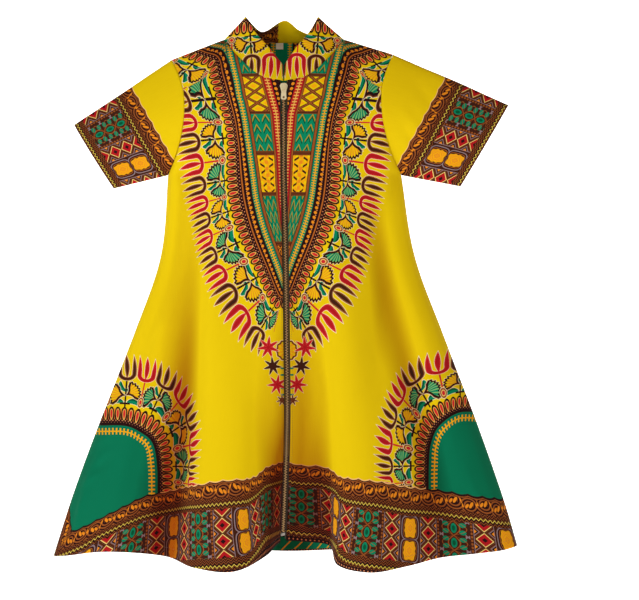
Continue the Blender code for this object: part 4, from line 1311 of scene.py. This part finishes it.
def wovenTape(name, colour, rib):
    # a ribbed tape or tab, its ribs along it and its yarns across, with painted shade between the ribs and
    # yarns
    material, tree, shader = newMaterial(name, colour, 0.8, {"Sheen Weight": 0.2, "Specular IOR Level": 0.25})
    where = tree.nodes.new("ShaderNodeTexCoord").outputs["Object"]
    across, down = (part * (1 / mm) for part in strands(tree, where, (0, 2)))
    weave = place(tree, "weave", (across, down))
    ribs = (abs(across) * (2 * math.pi / rib)).math("SINE")
    cross = (abs(across) * 0.9 + down).repeat(1.3)
    height = ribs * 0.5 + abs(cross) * 0.4 + Strand(tree, weave.outputs["Height"]) * 0.4
    # lighter on the raised ribs and yarns and darker between them as painted shade, with the yarns' random
    # tone
    ribShadeAndYarnTone = height * 0.22 + Strand(tree, weave.outputs["Tone"]) + 0.1
    feed(shader, {"Base Color": blend(tree, ribShadeAndYarnTone, linear(colour), shade(colour, 1.9, 0.02))})
    bumped(shader, height, 0.5, 0.0004)
    return material


def threadFinish(name, colour):
    material, tree, shader = newMaterial(name, colour, 0.6, {"Sheen Weight": 0.3})
    feed(shader, {"Base Color": blend(tree, noise(tree, 1500, 2), shade(colour, 0.7), linear(colour))})
    return material


print("finishes")
finish = {
    "yoke": printedCotton("printed_cotton_yoke", ("rings", "drop")),
    "hem": printedCotton("printed_cotton_hem", ("rings", "corner", "border")),
    "sleeve": printedCotton("printed_cotton_sleeve", ("border",)),
    "collar": printedCotton("printed_cotton_collar", ("rings", "border")),
    **{name: metal(name) for name in metalPlan},
    "tape": wovenTape("zip_tape_weave", (44, 34, 26), 1.6),
    "label": wovenTape("label_weave", (250, 250, 248), 0.5),
    "threadDark": threadFinish("thread_dark", (60, 34, 22)),
}

print("cotton panels, sleeves and collar")
pieces = (frontPanel(-1), frontPanel(1), backPanel(), sleeve(-1), sleeve(1), collar())


def flatSize(grid, joined=False):
    # width and length of the least rectangle the piece was cut from, and its area, in metres
    if joined:
        grid = np.concatenate([grid, grid[:, :1]], axis=1)
    widths = np.linalg.norm(np.diff(grid, axis=1), axis=2).sum(axis=1)
    heights = np.linalg.norm(np.diff(grid, axis=0), axis=2).sum(axis=0)
    one, two = np.diff(grid, axis=0)[:, :-1], np.diff(grid, axis=1)[:-1]
    area = np.linalg.norm(np.cross(one, two), axis=2).sum() * mm * mm
    width, length = widths.max() * mm, heights.max() * mm
    return (round(width, 3), round(length, 3)), round(min(area, width * length), 4)


for piece, grid in pieces:
    size, area = flatSize(grid, "sleeve" in piece.name)
    print(piece.name, "flat", size, "area", area)
    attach(piece, "garment")

print("zip, label and sewing")
zipChain()
for node, look, bevel in (
    ("zip_tape_left", "tape", 0), ("zip_tape_right", "tape", 0), ("zip_slider", "slider", 0.5),
    ("zip_pull", "slider", 0.25), ("zip_bottom_stop", "stop", 0.4), ("size_label", "label", 0.12),
):
    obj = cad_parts[node]
    obj.data.materials.clear()
    obj.data.materials.append(finish[look])
    if bevel:
        edges = obj.modifiers.new("Edges", "BEVEL")
        edges.width, edges.segments = bevel * mm, 2


sewn = [(grid, outward(grid, facing)) for (piece, grid), facing in zip(pieces, (-1, -1, 1))]
verts, faces = [], []
for grid, normals in sewn:
    stitchRow(grid[stitchPlan["hemRow"]], normals[stitchPlan["hemRow"]], verts, faces)
for grid, normals in sewn[:2]:
    stitchRow(grid[:, stitchPlan["zipColumn"]], normals[:, stitchPlan["zipColumn"]], verts, faces)
meshPiece("hem_and_zip_sewing", verts, faces, finish["threadDark"])

print("floor, lights and camera")
studio = {
    "floorZ": -1.5, "wallY": 6, "curve": 1.6, "halfWide": 8, "front": -6, "height": 5,
    "colour": (252, 252, 252), "glow": 0.95,
}


def cyclorama():
    # a pale floor that curves up into a wall behind
    plan = studio
    curve, floor = plan["curve"], plan["floorZ"]
    profile = [(plan["front"], floor)]
    for turn in np.linspace(0, math.pi / 2, 17):
        profile.append((plan["wallY"] - curve * (1 - math.sin(turn)), floor + curve * (1 - math.cos(turn))))
    profile.append((plan["wallY"], plan["height"]))
    n = len(profile)
    verts = np.array([(x, y, z) for x in (-plan["halfWide"], plan["halfWide"]) for y, z in profile]) / mm
    glow = {"Emission Color": (1, 1, 1, 1), "Emission Strength": plan["glow"]}
    material = newMaterial("cyclorama", plan["colour"], 0.9, glow)[0]
    obj = newPiece("cyclorama", verts, [(i, i + 1, n + i + 1, n + i) for i in range(n - 1)], (material,))
    obj.data.shade_smooth()


cyclorama()

lights = {
    "key": ((-2.5, -2, 0.8), (0.8, 0.8), 34, (1, 1, 1)),
    "fill": ((0.8, -3.2, 0), (2, 2), 11, (1, 0.76, 0.55)),
    "above": ((-0.2, -1.3, 1.6), (1.6, 1), 7, (1, 0.95, 0.9)),
    "backdrop": ((0, 3.4, 2.4), (4.5, 1.2), 60, (1, 1, 1)),
    "aim": (0, 0, -0.45), "backdropAim": (0, 6, -0.3),
    "world": (0.24, (1, 0.68, 0.42)),
}
for name in ("key", "fill", "above", "backdrop"):
    where, size, watts, colour = lights[name]
    lamp = bpy.data.lights.new(name, "AREA")
    lamp.shape = "RECTANGLE"
    lamp.size, lamp.size_y = size
    lamp.energy, lamp.color = watts, colour
    obj = bpy.data.objects.new(name, lamp)
    obj.location = where
    aim = Vector(lights["backdropAim" if name == "backdrop" else "aim"])
    obj.rotation_euler = (aim - Vector(where)).to_track_quat("-Z", "Y").to_euler()
    scene.collection.objects.link(obj)

world = bpy.data.worlds.new("pale room")
world.use_nodes = True
room = world.node_tree
# pale where the room itself is seen, a warm dim light on the cloth
seen = newNode(room, "LightPath").outputs["Is Camera Ray"]
strength, tint = lights["world"]
air = blend(room, seen, tuple(c * strength for c in tint) + (1,), (1, 1, 1, 1))
feed(room.nodes["Background"], {"Strength": 1, "Color": air})
scene.world = world
scene.view_settings.view_transform = "Standard"

camera = {"place": (0.06, -2.4, -0.447), "lens": 78.6, "sensorWidth": 36}
lens = bpy.data.cameras.new("camera")
lens.lens = camera["lens"]
lens.sensor_width = camera["sensorWidth"]
viewpoint = bpy.data.objects.new("camera", lens)
viewpoint.location = camera["place"]
viewpoint.rotation_euler = (math.pi / 2, 0, 0)
scene.collection.objects.link(viewpoint)
scene.camera = viewpoint
